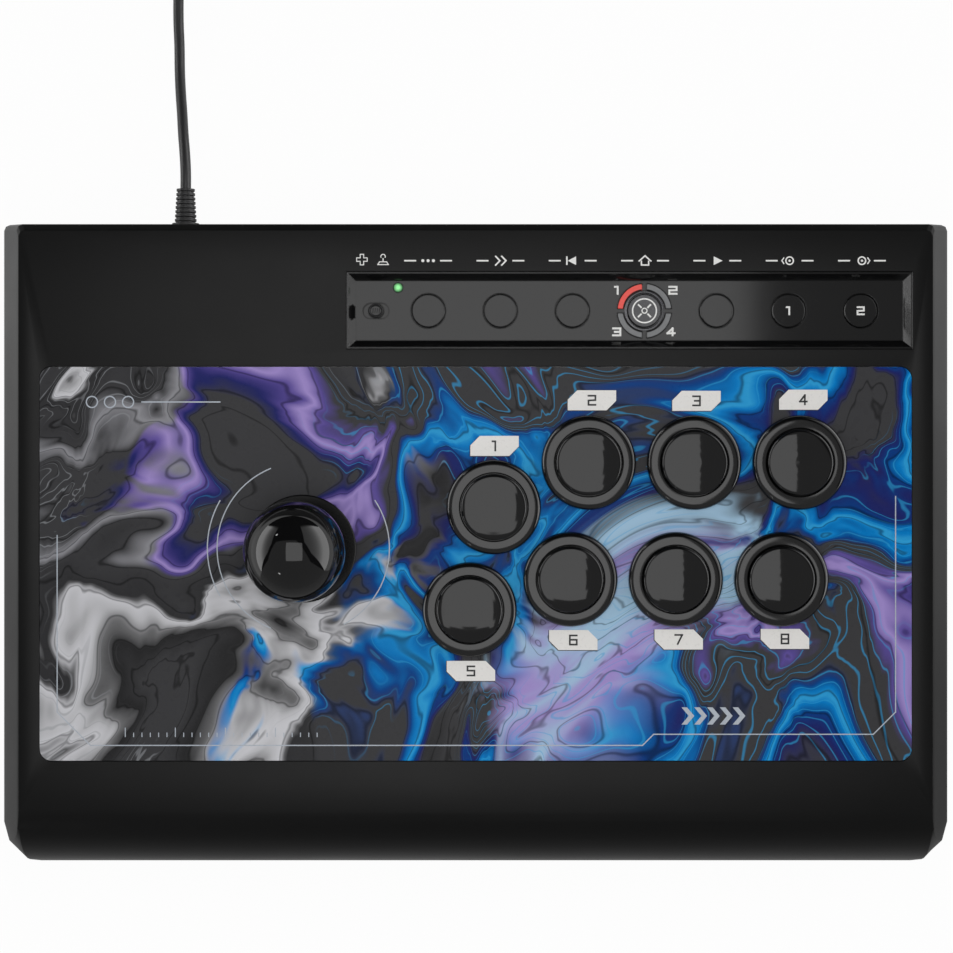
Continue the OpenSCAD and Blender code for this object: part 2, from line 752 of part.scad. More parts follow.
// Rim and barrel of one button, with its snap tabs under the plate
module button_bezel(i) {
    rim_r = rim_d / 2;
    bore_r = plunger_r + slide_gap;
    low_r = barrel_r - barrel_wall;
    stem_hole_r = stem_d / 2 + slide_gap;
    crown_out = rim_r - rim_edge_w;
    crown_in = bore_r + rim_lip;
    crown_mid = (crown_out + crown_in) / 2;
    crown_end = rim_h - pow(crown_out - crown_mid, 2) / (2 * rim_crown_r);
    edge = [for (s = [0:rim_steps]) let (a = 90 * s / rim_steps)
        [rim_r - rim_edge_w * (1 - cos(a)), rim_edge_h + (crown_end - rim_edge_h) * sin(a)]];
    crown = [for (s = [1:rim_steps]) let (r = crown_out + (crown_in - crown_out) * s / rim_steps)
        [r, rim_h - pow(r - crown_mid, 2) / (2 * rim_crown_r)]];
    color("#0e0e0f") translate([BUTTONS[i].x, BUTTONS[i].y, case_h]) {
        rotate_extrude() polygon(concat(
            [[stem_hole_r, -barrel_depth], [barrel_r, -barrel_depth], [barrel_r, 0], [rim_r, 0]],
            edge,
            crown,
            [[bore_r, crown_end - rim_lip], [bore_r, -ledge_depth], [low_r, -ledge_depth]],
            [[low_r, barrel_floor - barrel_depth], [stem_hole_r, barrel_floor - barrel_depth]]
        ));
        for (a = [0, 180]) rotate(a)
            translate([barrel_r - barrel_wall / 2, -tab_w / 2, z_plate - case_h - stop_gap - tab_h])
            cube([barrel_wall / 2 + tab_out, tab_w, tab_h]);
    }
}

// Crown, skirt and stem of one button, in one moulding
module button_plunger(i) {
    crown = rim_h + plunger_rise;
    edge_x = plunger_r - plunger_edge_r;
    edge_z = crown - edge_x * edge_x / (2 * dome_r) - plunger_edge_r;
    flange_top = -ledge_depth - stop_gap;
    flange_r = barrel_r - barrel_wall - slide_gap;
    inner = plunger_r - plunger_wall;
    roof = crown - 2 * plunger_edge_r;
    dome = [for (s = [0:crown_steps]) let (x = edge_x * s / crown_steps) [x, crown - x * x / (2 * dome_r)]];
    edge = [for (s = [1:crown_steps]) let (a = 90 - 90 * s / crown_steps)
        [edge_x + plunger_edge_r * cos(a), edge_z + plunger_edge_r * sin(a)]];
    stem_end = barrel_floor - barrel_depth - stem_dip;
    color("#111112") translate([BUTTONS[i].x, BUTTONS[i].y, case_h]) rotate_extrude() polygon(concat(
        dome,
        edge,
        [[plunger_r, flange_top], [flange_r, flange_top], [flange_r, flange_top - plunger_flange_h]],
        [[inner, flange_top - plunger_flange_h], [inner, roof], [stem_d / 2, roof]],
        [[stem_d / 2, stem_end], [0, stem_end]]
    ));
}

// Microswitch under each button, with its two terminals
module button_switches() {
    top = case_h - barrel_depth;
    color("#303234") at_each(BUTTONS, top - switch_size.z) {
        difference() {
            block(switch_size);
            translate([0, 0, switch_size.z - switch_well])
                cylinder(d = stem_d + 2 * slide_gap, h = switch_well + over);
        }
        for (y = [-1, 1]) translate([0, y * terminal_gap / 2, -terminal_size.z])
            block([terminal_size.x, terminal_size.y, terminal_size.z + fit]);
    }
}

// A ring without the four bridges that cross it
module light_quarters(outer, inner, bridge, h) {
    difference() {
        cylinder(d = outer, h = h);
        translate([0, 0, -over]) cylinder(d = inner, h = h + 2 * over);
        for (a = [0, 90]) rotate(a) translate([0, 0, -over]) block([outer + over, bridge, h + 2 * over]);
    }
}

// Recessed glossy strip that carries the keys
module control_fascia() {
    w = strip_w - 2 * fit;
    d = strip_d - 2 * fit;
    floor_w = strip_w - 2 * strip_slope;
    floor_d = strip_d - 2 * strip_slope;
    mouth_w = w - 2 * strip_rim;
    mouth_d = d - 2 * strip_rim;
    mouths = [[floor_w, floor_d, strip_floor_z], [mouth_w, mouth_d, case_h],
        [mouth_w, mouth_d, case_h + over]];
    corners = [[-1, -1], [1, -1], [1, 1], [-1, 1]];
    rings = [for (m = mouths) [for (c = corners) [c.x * m.x / 2, c.y * m.y / 2, m.z]]];
    color("#0c0c0d") difference() {
        union() {
            translate([strip_x, strip_y, strip_under]) {
                block([w, d, case_h - strip_under]);
                block([w + 2 * strip_flange, d + 2 * strip_flange, z_under - strip_under]);
            }
            at_each(BOARD_POSTS, board_top) cylinder(d = post_d, h = strip_under - board_top + fit);
        }
        translate([strip_x, strip_y, 0]) loft(rings);
        at_each(KEYS, strip_under - over) cylinder(r = key_r + slide_gap, h = strip_floor + 2 * over);
        translate([KEYS[HOME_KEY].x, strip_y, strip_under - over])
            light_quarters(ring_od, ring_id, ring_bridge, strip_floor + 2 * over);
        translate([mode_x, strip_y, strip_under - over])
            slot_plate(mode_slot_l, mode_slot_w, strip_floor + 2 * over);
        translate([led_pos.x, led_pos.y, strip_under - over])
            cylinder(d = led_d + 2 * fit, h = strip_floor + 2 * over);
        at_each(BOARD_POSTS, board_top - over) cylinder(d = board_screw_d + 2 * hole_fit, h = board_screw_l);
    }
}

// One round key with its flange and foot
module strip_key(i) {
    top = strip_floor_z + key_rise;
    color("#101011") translate([KEYS[i].x, KEYS[i].y, 0]) rotate_extrude() polygon([
        [0, key_bottom], [key_stem_d / 2, key_bottom], [key_stem_d / 2, key_flange_top - key_flange_h],
        [key_r + key_flange, key_flange_top - key_flange_h], [key_r + key_flange, key_flange_top],
        [key_r, key_flange_top], [key_r, top - key_edge], [key_r - key_edge, top], [0, top]
    ]);
}

// Light pipe with four quarters that show through the strip
module player_light_ring() {
    color("#7a7f82") translate([KEYS[HOME_KEY].x, strip_y, strip_under - ring_base_h]) {
        difference() {
            cylinder(d = ring_od + 2 * ring_base_lip, h = ring_base_h);
            translate([0, 0, -over])
                cylinder(d = ring_id - 2 * fit, h = ring_base_h + 2 * over);
        }
        light_quarters(ring_od - 2 * fit, ring_id + 2 * fit, ring_bridge + 2 * fit,
            ring_base_h + strip_floor);
    }
}

module status_led() {
    top = strip_floor_z + led_rise;
    color("#59d873") translate([led_pos.x, led_pos.y, 0]) {
        translate([0, 0, top - led_h]) cylinder(d = led_d, h = led_h);
        translate([0, 0, top - led_h]) cylinder(d = led_d + 2 * led_flange, h = led_flange_h);
        for (x = [-1, 1]) translate([x * led_leg_gap / 2, 0, board_top])
            cylinder(d = led_leg_d, h = top - led_h - board_top + fit);
    }
}

module mode_switch_knob() {
    cap_h = strip_floor_z + mode_rise - mode_plate_z;
    color("#161617") translate([mode_x, strip_y, mode_plate_z]) {
        slot_plate(mode_cap_l, mode_cap_w, cap_h);
        block([mode_plate_l, mode_plate_w, mode_plate_t]);
        translate([0, 0, -mode_post.z]) block([mode_post.x, mode_post.y, mode_post.z + fit]);
    }
}

module control_board() {
    left = mode_x - board_side - mode_travel;
    right = KEYS[KEY_COUNT - 1].x + key_r + board_side;
    color("#1d5a34") difference() {
        translate([(left + right) / 2, strip_y, board_under]) block([right - left, board_d, board_t]);
        at_each(BOARD_POSTS, board_under - over)
            cylinder(d = board_screw_d + 2 * hole_fit, h = board_t + 2 * over);
    }
}

// Push switch under each key, and the slide switch under the mode knob
module control_switches() {
    color("#2a2a2a") {
        at_each(KEYS, board_top) {
            block(tact_size);
            cylinder(d = tact_knob_d, h = tact_size.z + tact_knob_h);
        }
        translate([mode_x, strip_y, board_top]) difference() {
            block([mode_body_l, mode_body_w, mode_body_top - board_top]);
            translate([0, 0, mode_body_top - board_top - mode_well.z])
                block([mode_well.x, mode_well.y, mode_well.z + over]);
        }
    }
}

module main_board() {
    color("#1d5a34") difference() {
        union() {
            translate([main_board_pos.x, main_board_pos.y, main_board_z])
                block([main_board.x, main_board.y, board_t]);
            translate([main_board_pos.x, main_board_pos.y, main_board_top - hole_fit]) block(chip_size);
            at_each([CABLE_SOCKET, LEVER_SOCKET, STRIP_SOCKET, BUTTON_SOCKET], main_board_top - hole_fit)
                block(socket_size);
        }
        at_each(MAIN_POSTS, main_board_z - over)
            cylinder(d = board_screw_d + 2 * hole_fit, h = board_t + 2 * over);
    }
}

// Screws of the control board, from below, and of the main board, from above
module board_screws() {
    color("#9a9c9e") {
        at_each(BOARD_POSTS, board_under - board_head_h)
            screw_up(board_screw_d, board_head_d, board_head_h, board_screw_l - over);
        at_each(MAIN_POSTS, main_board_top + board_head_h)
            mirror([0, 0, 1]) screw_up(board_screw_d, board_head_d, board_head_h, board_screw_l - over);
    }
}

// Wires from the main board to the cable, the lever, the strip and the buttons
module wiring_harness() {
    socket_top = main_board_top + socket_size.z;
    lever_plug = [lever_x + plug_off, lever_y + plug_off + plug_size.y / 2,
        z_housing + board_t + plug_size.z / 2];
    branch_top = case_h - barrel_depth - switch_size.z - terminal_size.z;
    wall_y = lever_y + housing_w / 2;
    wire_r = wire_d / 2;
    color("#7a2222") {
        wire([[cable_x, y_rear - wall - relief_flange_t, cable_h],
            [cable_x, (y_rear + CABLE_SOCKET.y) / 2, cable_h],
            [cable_x, CABLE_SOCKET.y, cable_h - wire_d],
            [cable_x, CABLE_SOCKET.y, socket_top]], wire_r);
        wire([[LEVER_SOCKET.x, LEVER_SOCKET.y, socket_top],
            [LEVER_SOCKET.x, LEVER_SOCKET.y, socket_top + wire_d],
            [lever_plug.x, wall_y + 2 * wire_d, lever_plug.z],
            lever_plug], wire_r);
        wire([[STRIP_SOCKET.x, STRIP_SOCKET.y, socket_top],
            [STRIP_SOCKET.x, STRIP_SOCKET.y, socket_top + wire_d],
            [mode_x, strip_y, board_under - 2 * wire_d],
            [mode_x, strip_y, board_under]], wire_r);
        wire([[BUTTON_SOCKET.x, BUTTON_SOCKET.y, socket_top],
            [BUTTON_SOCKET.x, BUTTON_SOCKET.y, trunk_z + wire_d],
            [lever_x + housing_w / 2, wall_y + wire_d, trunk_z],
            [BUTTONS[0].x, trunk_y, trunk_z],
            [BUTTONS[3].x + wire_d, trunk_y, trunk_z]], wire_r);
        for (p = BUTTONS) let (y = p.y + sign(trunk_y - p.y) * terminal_gap / 2)
            wire([[max(p.x, BUTTONS[0].x + wire_d), trunk_y, trunk_z],
                [p.x, y, branch_top - branch_d],
                [p.x, y, branch_top]], branch_d / 2);
    }
}

function mount_screw_places() = [for (x = [-1, 1]) for (y = [-1, 1])
    [x * mount_screw_x / 2, y * mount_screw_y / 2]];

module at_lever(z) {
    translate([lever_x, lever_y, z]) children();
}

module ball_top() {
    color("#0a0a0b") at_lever(z_ball) difference() {
        sphere(d = ball_d);
        translate([0, 0, -ball_d])
            cylinder(d = neck_d + 2 * hole_fit, h = ball_d / 2 + neck_l + hole_fit);
    }
}

// Steel shaft with its collar, threaded neck and clip groove
module lever_shaft() {
    color("#b5b8ba") at_lever(0) difference() {
        union() {
            translate([0, 0, shaft_z]) cylinder(r = shaft_r, h = cover_top - shaft_z);
            translate([0, 0, pivot_top + stop_gap]) cylinder(d = collar_d, h = collar_h);
            translate([0, 0, cover_top - fit]) cylinder(d = neck_d, h = fit + ball_gap + neck_l);
        }
        translate([0, 0, clip_z - stop_gap / 2]) difference() {
            cylinder(d = shaft_d + over, h = clip_t + stop_gap);
            translate([0, 0, -over]) cylinder(d = groove_d, h = clip_t + 2 * over);
        }
    }
}

module shaft_cover() {
    color("#121213") at_lever(cover_bottom) difference() {
        cylinder(d = cover_d, h = cover_top - cover_bottom);
        translate([0, 0, -over]) cylinder(r = shaft_r + stop_gap, h = cover_top - cover_bottom + 2 * over);
    }
}

module dust_washer() {
    hole_r = cover_d / 2 + hole_fit;
    r = washer_d / 2;
    color("#121213") at_lever(case_h + washer_lift) rotate_extrude() polygon([
        [hole_r, 0], [r, 0], [r, washer_t - washer_edge], [r - washer_edge, washer_t], [hole_r, washer_t]
    ]);
}

module lever_mount_plate() {
    color("#a7aaac") at_lever(mount_z) difference() {
        round_plate(housing_w, mount_l, mount_r, mount_t);
        translate([0, 0, -over]) cylinder(d = mount_hole_d, h = mount_t + 2 * over);
        at_each(mount_screw_places(), -over)
            cylinder(d = mount_screw_d + 2 * hole_fit, h = mount_t + 2 * over);
        at_each(HOUSING_POSTS, -over) cylinder(d = long_screw_d + 2 * hole_fit, h = mount_t + 2 * over);
    }
}

// Plastic housing with a spherical seat for the pivot, open below
module lever_housing() {
    h = mount_z - z_housing;
    inner = housing_w - 2 * housing_wall;
    seat_r = pivot_r + socket_gap;
    seat_h = mount_z - z_web;
    color("#26282a") at_lever(0) difference() {
        union() {
            translate([0, 0, z_housing]) difference() {
                block([housing_w, housing_w, h]);
                translate([0, 0, -over]) block([inner, inner, h + 2 * over]);
            }
            translate([0, 0, z_web]) block([housing_w - housing_wall, housing_w - housing_wall, web_t]);
            translate([0, 0, z_web]) cylinder(r = socket_top_r + socket_wall, h = seat_h);
            at_each(HOUSING_POSTS, z_housing) cylinder(r = housing_post_r, h = h);
        }
        translate([0, 0, z_pivot]) sphere(r = seat_r);
        translate([0, 0, z_pivot]) cylinder(r = socket_top_r, h = mount_z - z_pivot + over);
        at_each(HOUSING_POSTS, z_housing - over) cylinder(d = long_screw_d + 2 * hole_fit, h = h + 2 * over);
        translate([plug_off, housing_w / 2, z_housing + board_t])
            block([window_w, 3 * housing_wall, window_h]);
    }
}

module lever_pivot() {
    color("#d8d8d4") at_lever(z_pivot) difference() {
        intersection() {
            sphere(r = pivot_r);
            translate([0, 0, -pivot_half]) cylinder(r = pivot_d, h = 2 * pivot_half);
        }
        translate([0, 0, -pivot_d]) cylinder(r = shaft_r + hole_fit, h = 2 * pivot_d);
    }
}

// Conical centring spring between the actuator and the housing
module lever_spring() {
    z_a = actuator_top + spring_wire / 2 + stop_gap;
    z_b = z_web - spring_wire / 2 - stop_gap;
    steps = spring_turns * spring_rings;
    path = [for (i = [0:steps]) let (s = i / steps, r = spring_foot_r + (spring_head_r - spring_foot_r) * s)
        [r * cos(360 * i / spring_rings), r * sin(360 * i / spring_rings), z_a + (z_b - z_a) * s]];
    color("#b5b8ba") at_lever(0) tube(path, spring_wire / 2, spring_sides);
}

module lever_actuator() {
    color("#202122") at_lever(actuator_z) difference() {
        cylinder(r = actuator_r, h = actuator_l);
        translate([0, 0, -over]) cylinder(r = shaft_r + hole_fit, h = actuator_l + 2 * over);
    }
}

module lever_e_clip() {
    color("#6b6d6f") at_lever(clip_z) difference() {
        cylinder(d = clip_d, h = clip_t);
        translate([0, 0, -over]) cylinder(d = groove_d + 2 * hole_fit, h = clip_t + 2 * over);
        translate([clip_d / 2, 0, -over]) block([clip_d, clip_mouth, clip_t + 2 * over]);
    }
}

module restrictor_gate() {
    color("#c9c9c4") at_lever(gate_z) difference() {
        round_plate(housing_w, housing_w, mount_r, gate_t);
        translate([0, 0, -over]) round_plate(2 * gate_half, 2 * gate_half, gate_r, gate_t + 2 * over);
        at_each(HOUSING_POSTS, -over) cylinder(d = long_screw_d + 2 * hole_fit, h = gate_t + 2 * over);
    }
}

module lever_board() {
    color("#1d5a34") at_lever(z_housing) {
        difference() {
            block([lever_board_w, lever_board_w, board_t]);
            translate([0, 0, -over]) round_plate(2 * gate_half, 2 * gate_half, gate_r, board_t + 2 * over);
        }
        translate([plug_off, plug_off, board_t - hole_fit]) block(plug_size);
    }
}

// Four microswitches around the actuator
module lever_switches() {
    color("#7c2a20") at_lever(z_housing + board_t) for (a = [0:90:270]) rotate(a)
        translate([actuator_r + micro_gap + micro_size.x / 2, 0, 0]) block(micro_size);
}

// Short screws through the two plates, and long ones through gate and housing
module lever_screws() {
    color("#9a9c9e") {
        at_lever(mount_z - long_head_h) at_each(mount_screw_places(), 0)
            screw_up(mount_screw_d, 2 * mount_screw_d, long_head_h, mount_t + plate_t - stop_gap);
        at_lever(gate_z - long_head_h) at_each(HOUSING_POSTS, 0)
            screw_up(long_screw_d, long_head_d, long_head_h, mount_z + mount_t - gate_z - stop_gap);
    }
}

// Ribbed sleeve that guides the cable out of the rear wall
module strain_relief() {
    rib_pitch = (relief_l - relief_collar_t) / relief_ribs;
    slope = (relief_d - relief_tip_d) / 2 / relief_l;
    ribs = [for (i = [0:relief_ribs - 1]) let (a = relief_collar_t + i * rib_pitch, r = relief_d / 2)
        each [[r - rib_depth - slope * a, a], [r - rib_depth - slope * a, a + rib_pitch / 3],
            [r - slope * (a + rib_pitch), a + rib_pitch / 2], [r - slope * (a + rib_pitch), a + rib_pitch]]];
    color("#151516") translate([cable_x, y_rear, cable_h])
        rotate([-90, 0, 0]) rotate_extrude() polygon(concat(
        [[0, -wall - relief_flange_t], [relief_flange_d / 2, -wall - relief_flange_t]],
        [[relief_flange_d / 2, -wall], [relief_neck_d / 2, -wall], [relief_neck_d / 2, 0]],
        [[relief_collar_d / 2, 0], [relief_collar_d / 2, relief_collar_t]],
        ribs,
        [[0, relief_l]]
    ));
}

// Height of the coil: it climbs a layer in the half turn around each reversal of the spiral
function coil_climb(t) =
    let (
        k = min(max(round(t / coil_span), 1), coil_layers - 1),
        s = (t - k * coil_span) / climb_share + 1 / 2
    )
    (k - 1 + min(max(s, 0), 1)) * coil_pitch;

// Radius of the coil: it spirals in and out again at a steady rate
function coil_radius(t) =
    let (u = t % (2 * coil_span)) coil_out_r - coil_pitch * (u < coil_span ? u : 2 * coil_span - u);

// The cable's path through the coil, with a straight stretch at each end
function coil_path() =
    let (
        n = coil_turns * coil_rings,
        turns = [for (i = [0:n]) let (t = i / coil_rings, a = 180 - 360 * t, r = coil_radius(t))
            [COIL_MID.x + r * cos(a), COIL_MID.y + r * sin(a), COIL_START.z + coil_climb(t)]],
        end_a = 180 - 360 * coil_turns,
        out = [sin(end_a), -cos(end_a), 0]
    )
    concat([turns[0] - [0, cable_d, 0]], turns, [turns[n] + out * cable_d]);

function path_length(path) = len(path) < 2 ? 0 :
    [for (i = [1:len(path) - 1]) norm(path[i] - path[i - 1])] * [for (i = [1:len(path) - 1]) 1];

coil_least = min([for (i = [0:len(COIL) - 1]) for (j = [i + coil_rings / 2:len(COIL) - 1])
    norm(COIL[i] - COIL[j])]);
echo(coil_gap_mm = coil_least - cable_d);
echo(cable_length_mm = path_length(CABLE_ROUTE) + path_length(COIL) + path_length(LEAD));

module usb_cable() {
    color("#1b1b1c") {
        tube(CABLE_ROUTE, cable_r, cable_sides);
        tube(LEAD, cable_r, cable_sides);
    }
}

module usb_cable_coil() {
    color("#1b1b1c") tube(COIL, cable_r, coil_sides);
}

// Strap that holds the coil together
module cable_tie() {
    inner = sqrt(pow(coil_in_r - cable_r, 2) - pow(tie_w / 2, 2)) - tie_gap;
    outer = coil_out_r + cable_r + tie_gap;
    low = COIL_START.z - cable_r - tie_gap;
    high = COIL_START.z + (coil_layers - 1) * coil_pitch + cable_r + tie_gap;
    color("#0f0f10") translate([COIL_MID.x, COIL_MID.y - tie_w / 2, 0]) difference() {
        translate([inner - tie_t, 0, low - tie_t])
            cube([outer - inner + 2 * tie_t, tie_w, high - low + 2 * tie_t]);
        translate([inner, -over, low]) cube([outer - inner, tie_w + 2 * over, high - low]);
    }
}

// Moulded grip of the plug, with its tongue
module usb_plug_body() {
    tip_w = plug_w * plug_tip_share;
    tip_h = plug_h * plug_tip_share;
    color("#151516") translate(plug_mid) {
        hull() {
            for (y = [-1, 1]) for (z = [-1, 1]) {
                translate([0, y * (tip_w / 2 - plug_edge), z * (tip_h / 2 - plug_edge)])
                    rotate([0, 90, 0]) cylinder(r = plug_edge, h = plug_edge, $fn = 16);
                translate([plug_l / 3, y * (plug_w / 2 - plug_edge), z * (plug_h / 2 - plug_edge)])
                    rotate([0, 90, 0]) cylinder(r = plug_edge, h = 2 * plug_l / 3, $fn = 16);
            }
        }
        translate([plug_l - fit, -(shell_size.y / 2 - shell_t - fit), 0])
            cube([shell_size.x - tongue_short + fit, shell_size.y - 2 * (shell_t + fit), tongue_t]);
    }
}

// Metal shell of the plug
module usb_plug_shell() {
    color("#c4c7c9") translate(plug_mid + [plug_l, 0, 0]) difference() {
        translate([0, -shell_size.y / 2, -shell_size.z / 2]) cube(shell_size);
        translate([-over, -shell_size.y / 2 + shell_t, -shell_size.z / 2 + shell_t])
            cube(shell_size + [2 * over, -2 * shell_t, -2 * shell_t]);
    }
}

top_case();
bottom_case();
rubber_feet();
case_screws();
mounting_plate();
plate_screws();
art_panel();
control_fascia();
control_board();
control_switches();
main_board();
board_screws();
status_led();
player_light_ring();
mode_switch_knob();
button_switches();
wiring_harness();
ball_top();
lever_shaft();
shaft_cover();
dust_washer();
lever_mount_plate();
lever_housing();
lever_pivot();
lever_spring();
lever_actuator();
lever_e_clip();
restrictor_gate();
lever_board();
lever_switches();
lever_screws();
strain_relief();
usb_cable();
usb_cable_coil();
cable_tie();
usb_plug_body();
usb_plug_shell();
for (i = [0:BUTTON_COUNT - 1]) {
    button_bezel(i);
    button_plunger(i);
}
for (i = [0:KEY_COUNT - 1]) strip_key(i);
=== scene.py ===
import math

import bmesh
import bpy
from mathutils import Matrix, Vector


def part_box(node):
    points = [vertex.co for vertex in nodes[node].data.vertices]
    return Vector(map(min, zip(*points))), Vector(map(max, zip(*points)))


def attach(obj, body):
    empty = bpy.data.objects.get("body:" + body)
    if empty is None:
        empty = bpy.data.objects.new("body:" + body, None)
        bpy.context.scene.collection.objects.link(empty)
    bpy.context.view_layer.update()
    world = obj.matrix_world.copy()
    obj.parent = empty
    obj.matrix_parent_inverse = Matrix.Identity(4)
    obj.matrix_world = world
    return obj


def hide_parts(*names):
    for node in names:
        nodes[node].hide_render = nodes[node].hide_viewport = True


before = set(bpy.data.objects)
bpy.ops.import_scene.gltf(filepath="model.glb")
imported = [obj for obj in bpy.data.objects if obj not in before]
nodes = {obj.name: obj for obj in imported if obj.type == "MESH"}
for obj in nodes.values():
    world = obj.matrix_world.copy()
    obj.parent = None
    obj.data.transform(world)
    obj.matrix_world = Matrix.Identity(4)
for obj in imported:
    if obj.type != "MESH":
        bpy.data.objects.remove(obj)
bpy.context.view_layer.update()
scene = bpy.context.scene
MM = 0.001

# Camera, straight above the stick; the soft box hangs over the same line
cam_data = bpy.data.cameras.new("camera")
cam_data.sensor_width = 36
cam_data.lens = 88.24
cam = bpy.data.objects.new("camera", cam_data)
VIEW_Y = 0.0263
cam.location = (0.0003, VIEW_Y, 0.898)
scene.collection.objects.link(cam)
scene.camera = cam

# Route of the cable, in metres, as the solids have it
CABLE_D = 0.004
CABLE_X, CABLE_H, RELIEF_Y = -0.108, 0.028, 0.1333
RUN = [(0, 0), (0, 6), (-0.5, 13), (-1.5, 21), (-2.7, 30), (-4, 39), (-5, 48), (-5.5, 58), (-6, 68),
       (-6, 79), (-6, 90), (-6, 97)]
RUN_SHARES = [1, 1, 0.94, 0.81, 0.58, 0.35, 0.15, 0.04, 0, 0, 0, 0.02]
COIL_START = Vector((CABLE_X - 0.006, RELIEF_Y + 0.114, 0.003))
COIL_TURNS, COIL_LAYERS, COIL_MID_D, COIL_PITCH, COIL_RINGS = 11.25, 4, 0.046, 0.0045, 24
LEAD_RUN = [0, 4, 9, 17, 26, 34, 41, 46.7]
LEAD_SHARES = [1, 1, 0.9, 0.65, 0.31, 0.08, 0, 0]
PLUG_Z = 0.0044


def cable_points():
    low = CABLE_D / 2
    points = [Vector((CABLE_X + x * MM, RELIEF_Y + y * MM, low + (CABLE_H - low) * s))
              for (x, y), s in zip(RUN, RUN_SHARES)]
    points.append(COIL_START - Vector((0, CABLE_D + 0.006, 0)))
    points.append(COIL_START - Vector((0, CABLE_D, 0)))
    span = COIL_TURNS / COIL_LAYERS
    outer = COIL_MID_D / 2 + span * COIL_PITCH / 2
    mid = Vector((COIL_START.x + outer, COIL_START.y))
    for i in range(int(COIL_TURNS * COIL_RINGS) + 1):
        t = i / COIL_RINGS
        u = t % (2 * span)
        r = outer - COIL_PITCH * (u if u < span else 2 * span - u)
        k = min(max(round(t / span), 1), COIL_LAYERS - 1)
        climb = (k - 1 + min(max((t - k * span) * 2 + 0.5, 0), 1)) * COIL_PITCH
        a = math.pi - 2 * math.pi * t
        points.append(Vector((mid.x + r * math.cos(a), mid.y + r * math.sin(a), COIL_START.z + climb)))
    end = points[-1] + Vector((CABLE_D, 0, 0))
    for x, s in zip(LEAD_RUN, LEAD_SHARES):
        points.append(Vector((end.x + x * MM, end.y, PLUG_Z + (end.z - PLUG_Z) * s)))
    return points


def cable():
    points = cable_points()
    curve = bpy.data.curves.new("cable", "CURVE")
    curve.dimensions = "3D"
    curve.resolution_u = 3
    # Each point's radius is the cable's, so that the object's box fits the cable
    curve.bevel_depth = 1.0
    curve.bevel_resolution = 3
    curve.use_fill_caps = True
    spline = curve.splines.new("BEZIER")
    spline.bezier_points.add(len(points) - 1)
    for b, p in zip(spline.bezier_points, points):
        b.co = p
        b.radius = CABLE_D / 2
        b.handle_left_type = b.handle_right_type = "AUTO"
    obj = bpy.data.objects.new("cable", curve)
    scene.collection.objects.link(obj)
    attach(obj, "case")
    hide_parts("usb_cable", "usb_cable_coil")
    return obj


cable_obj = cable()


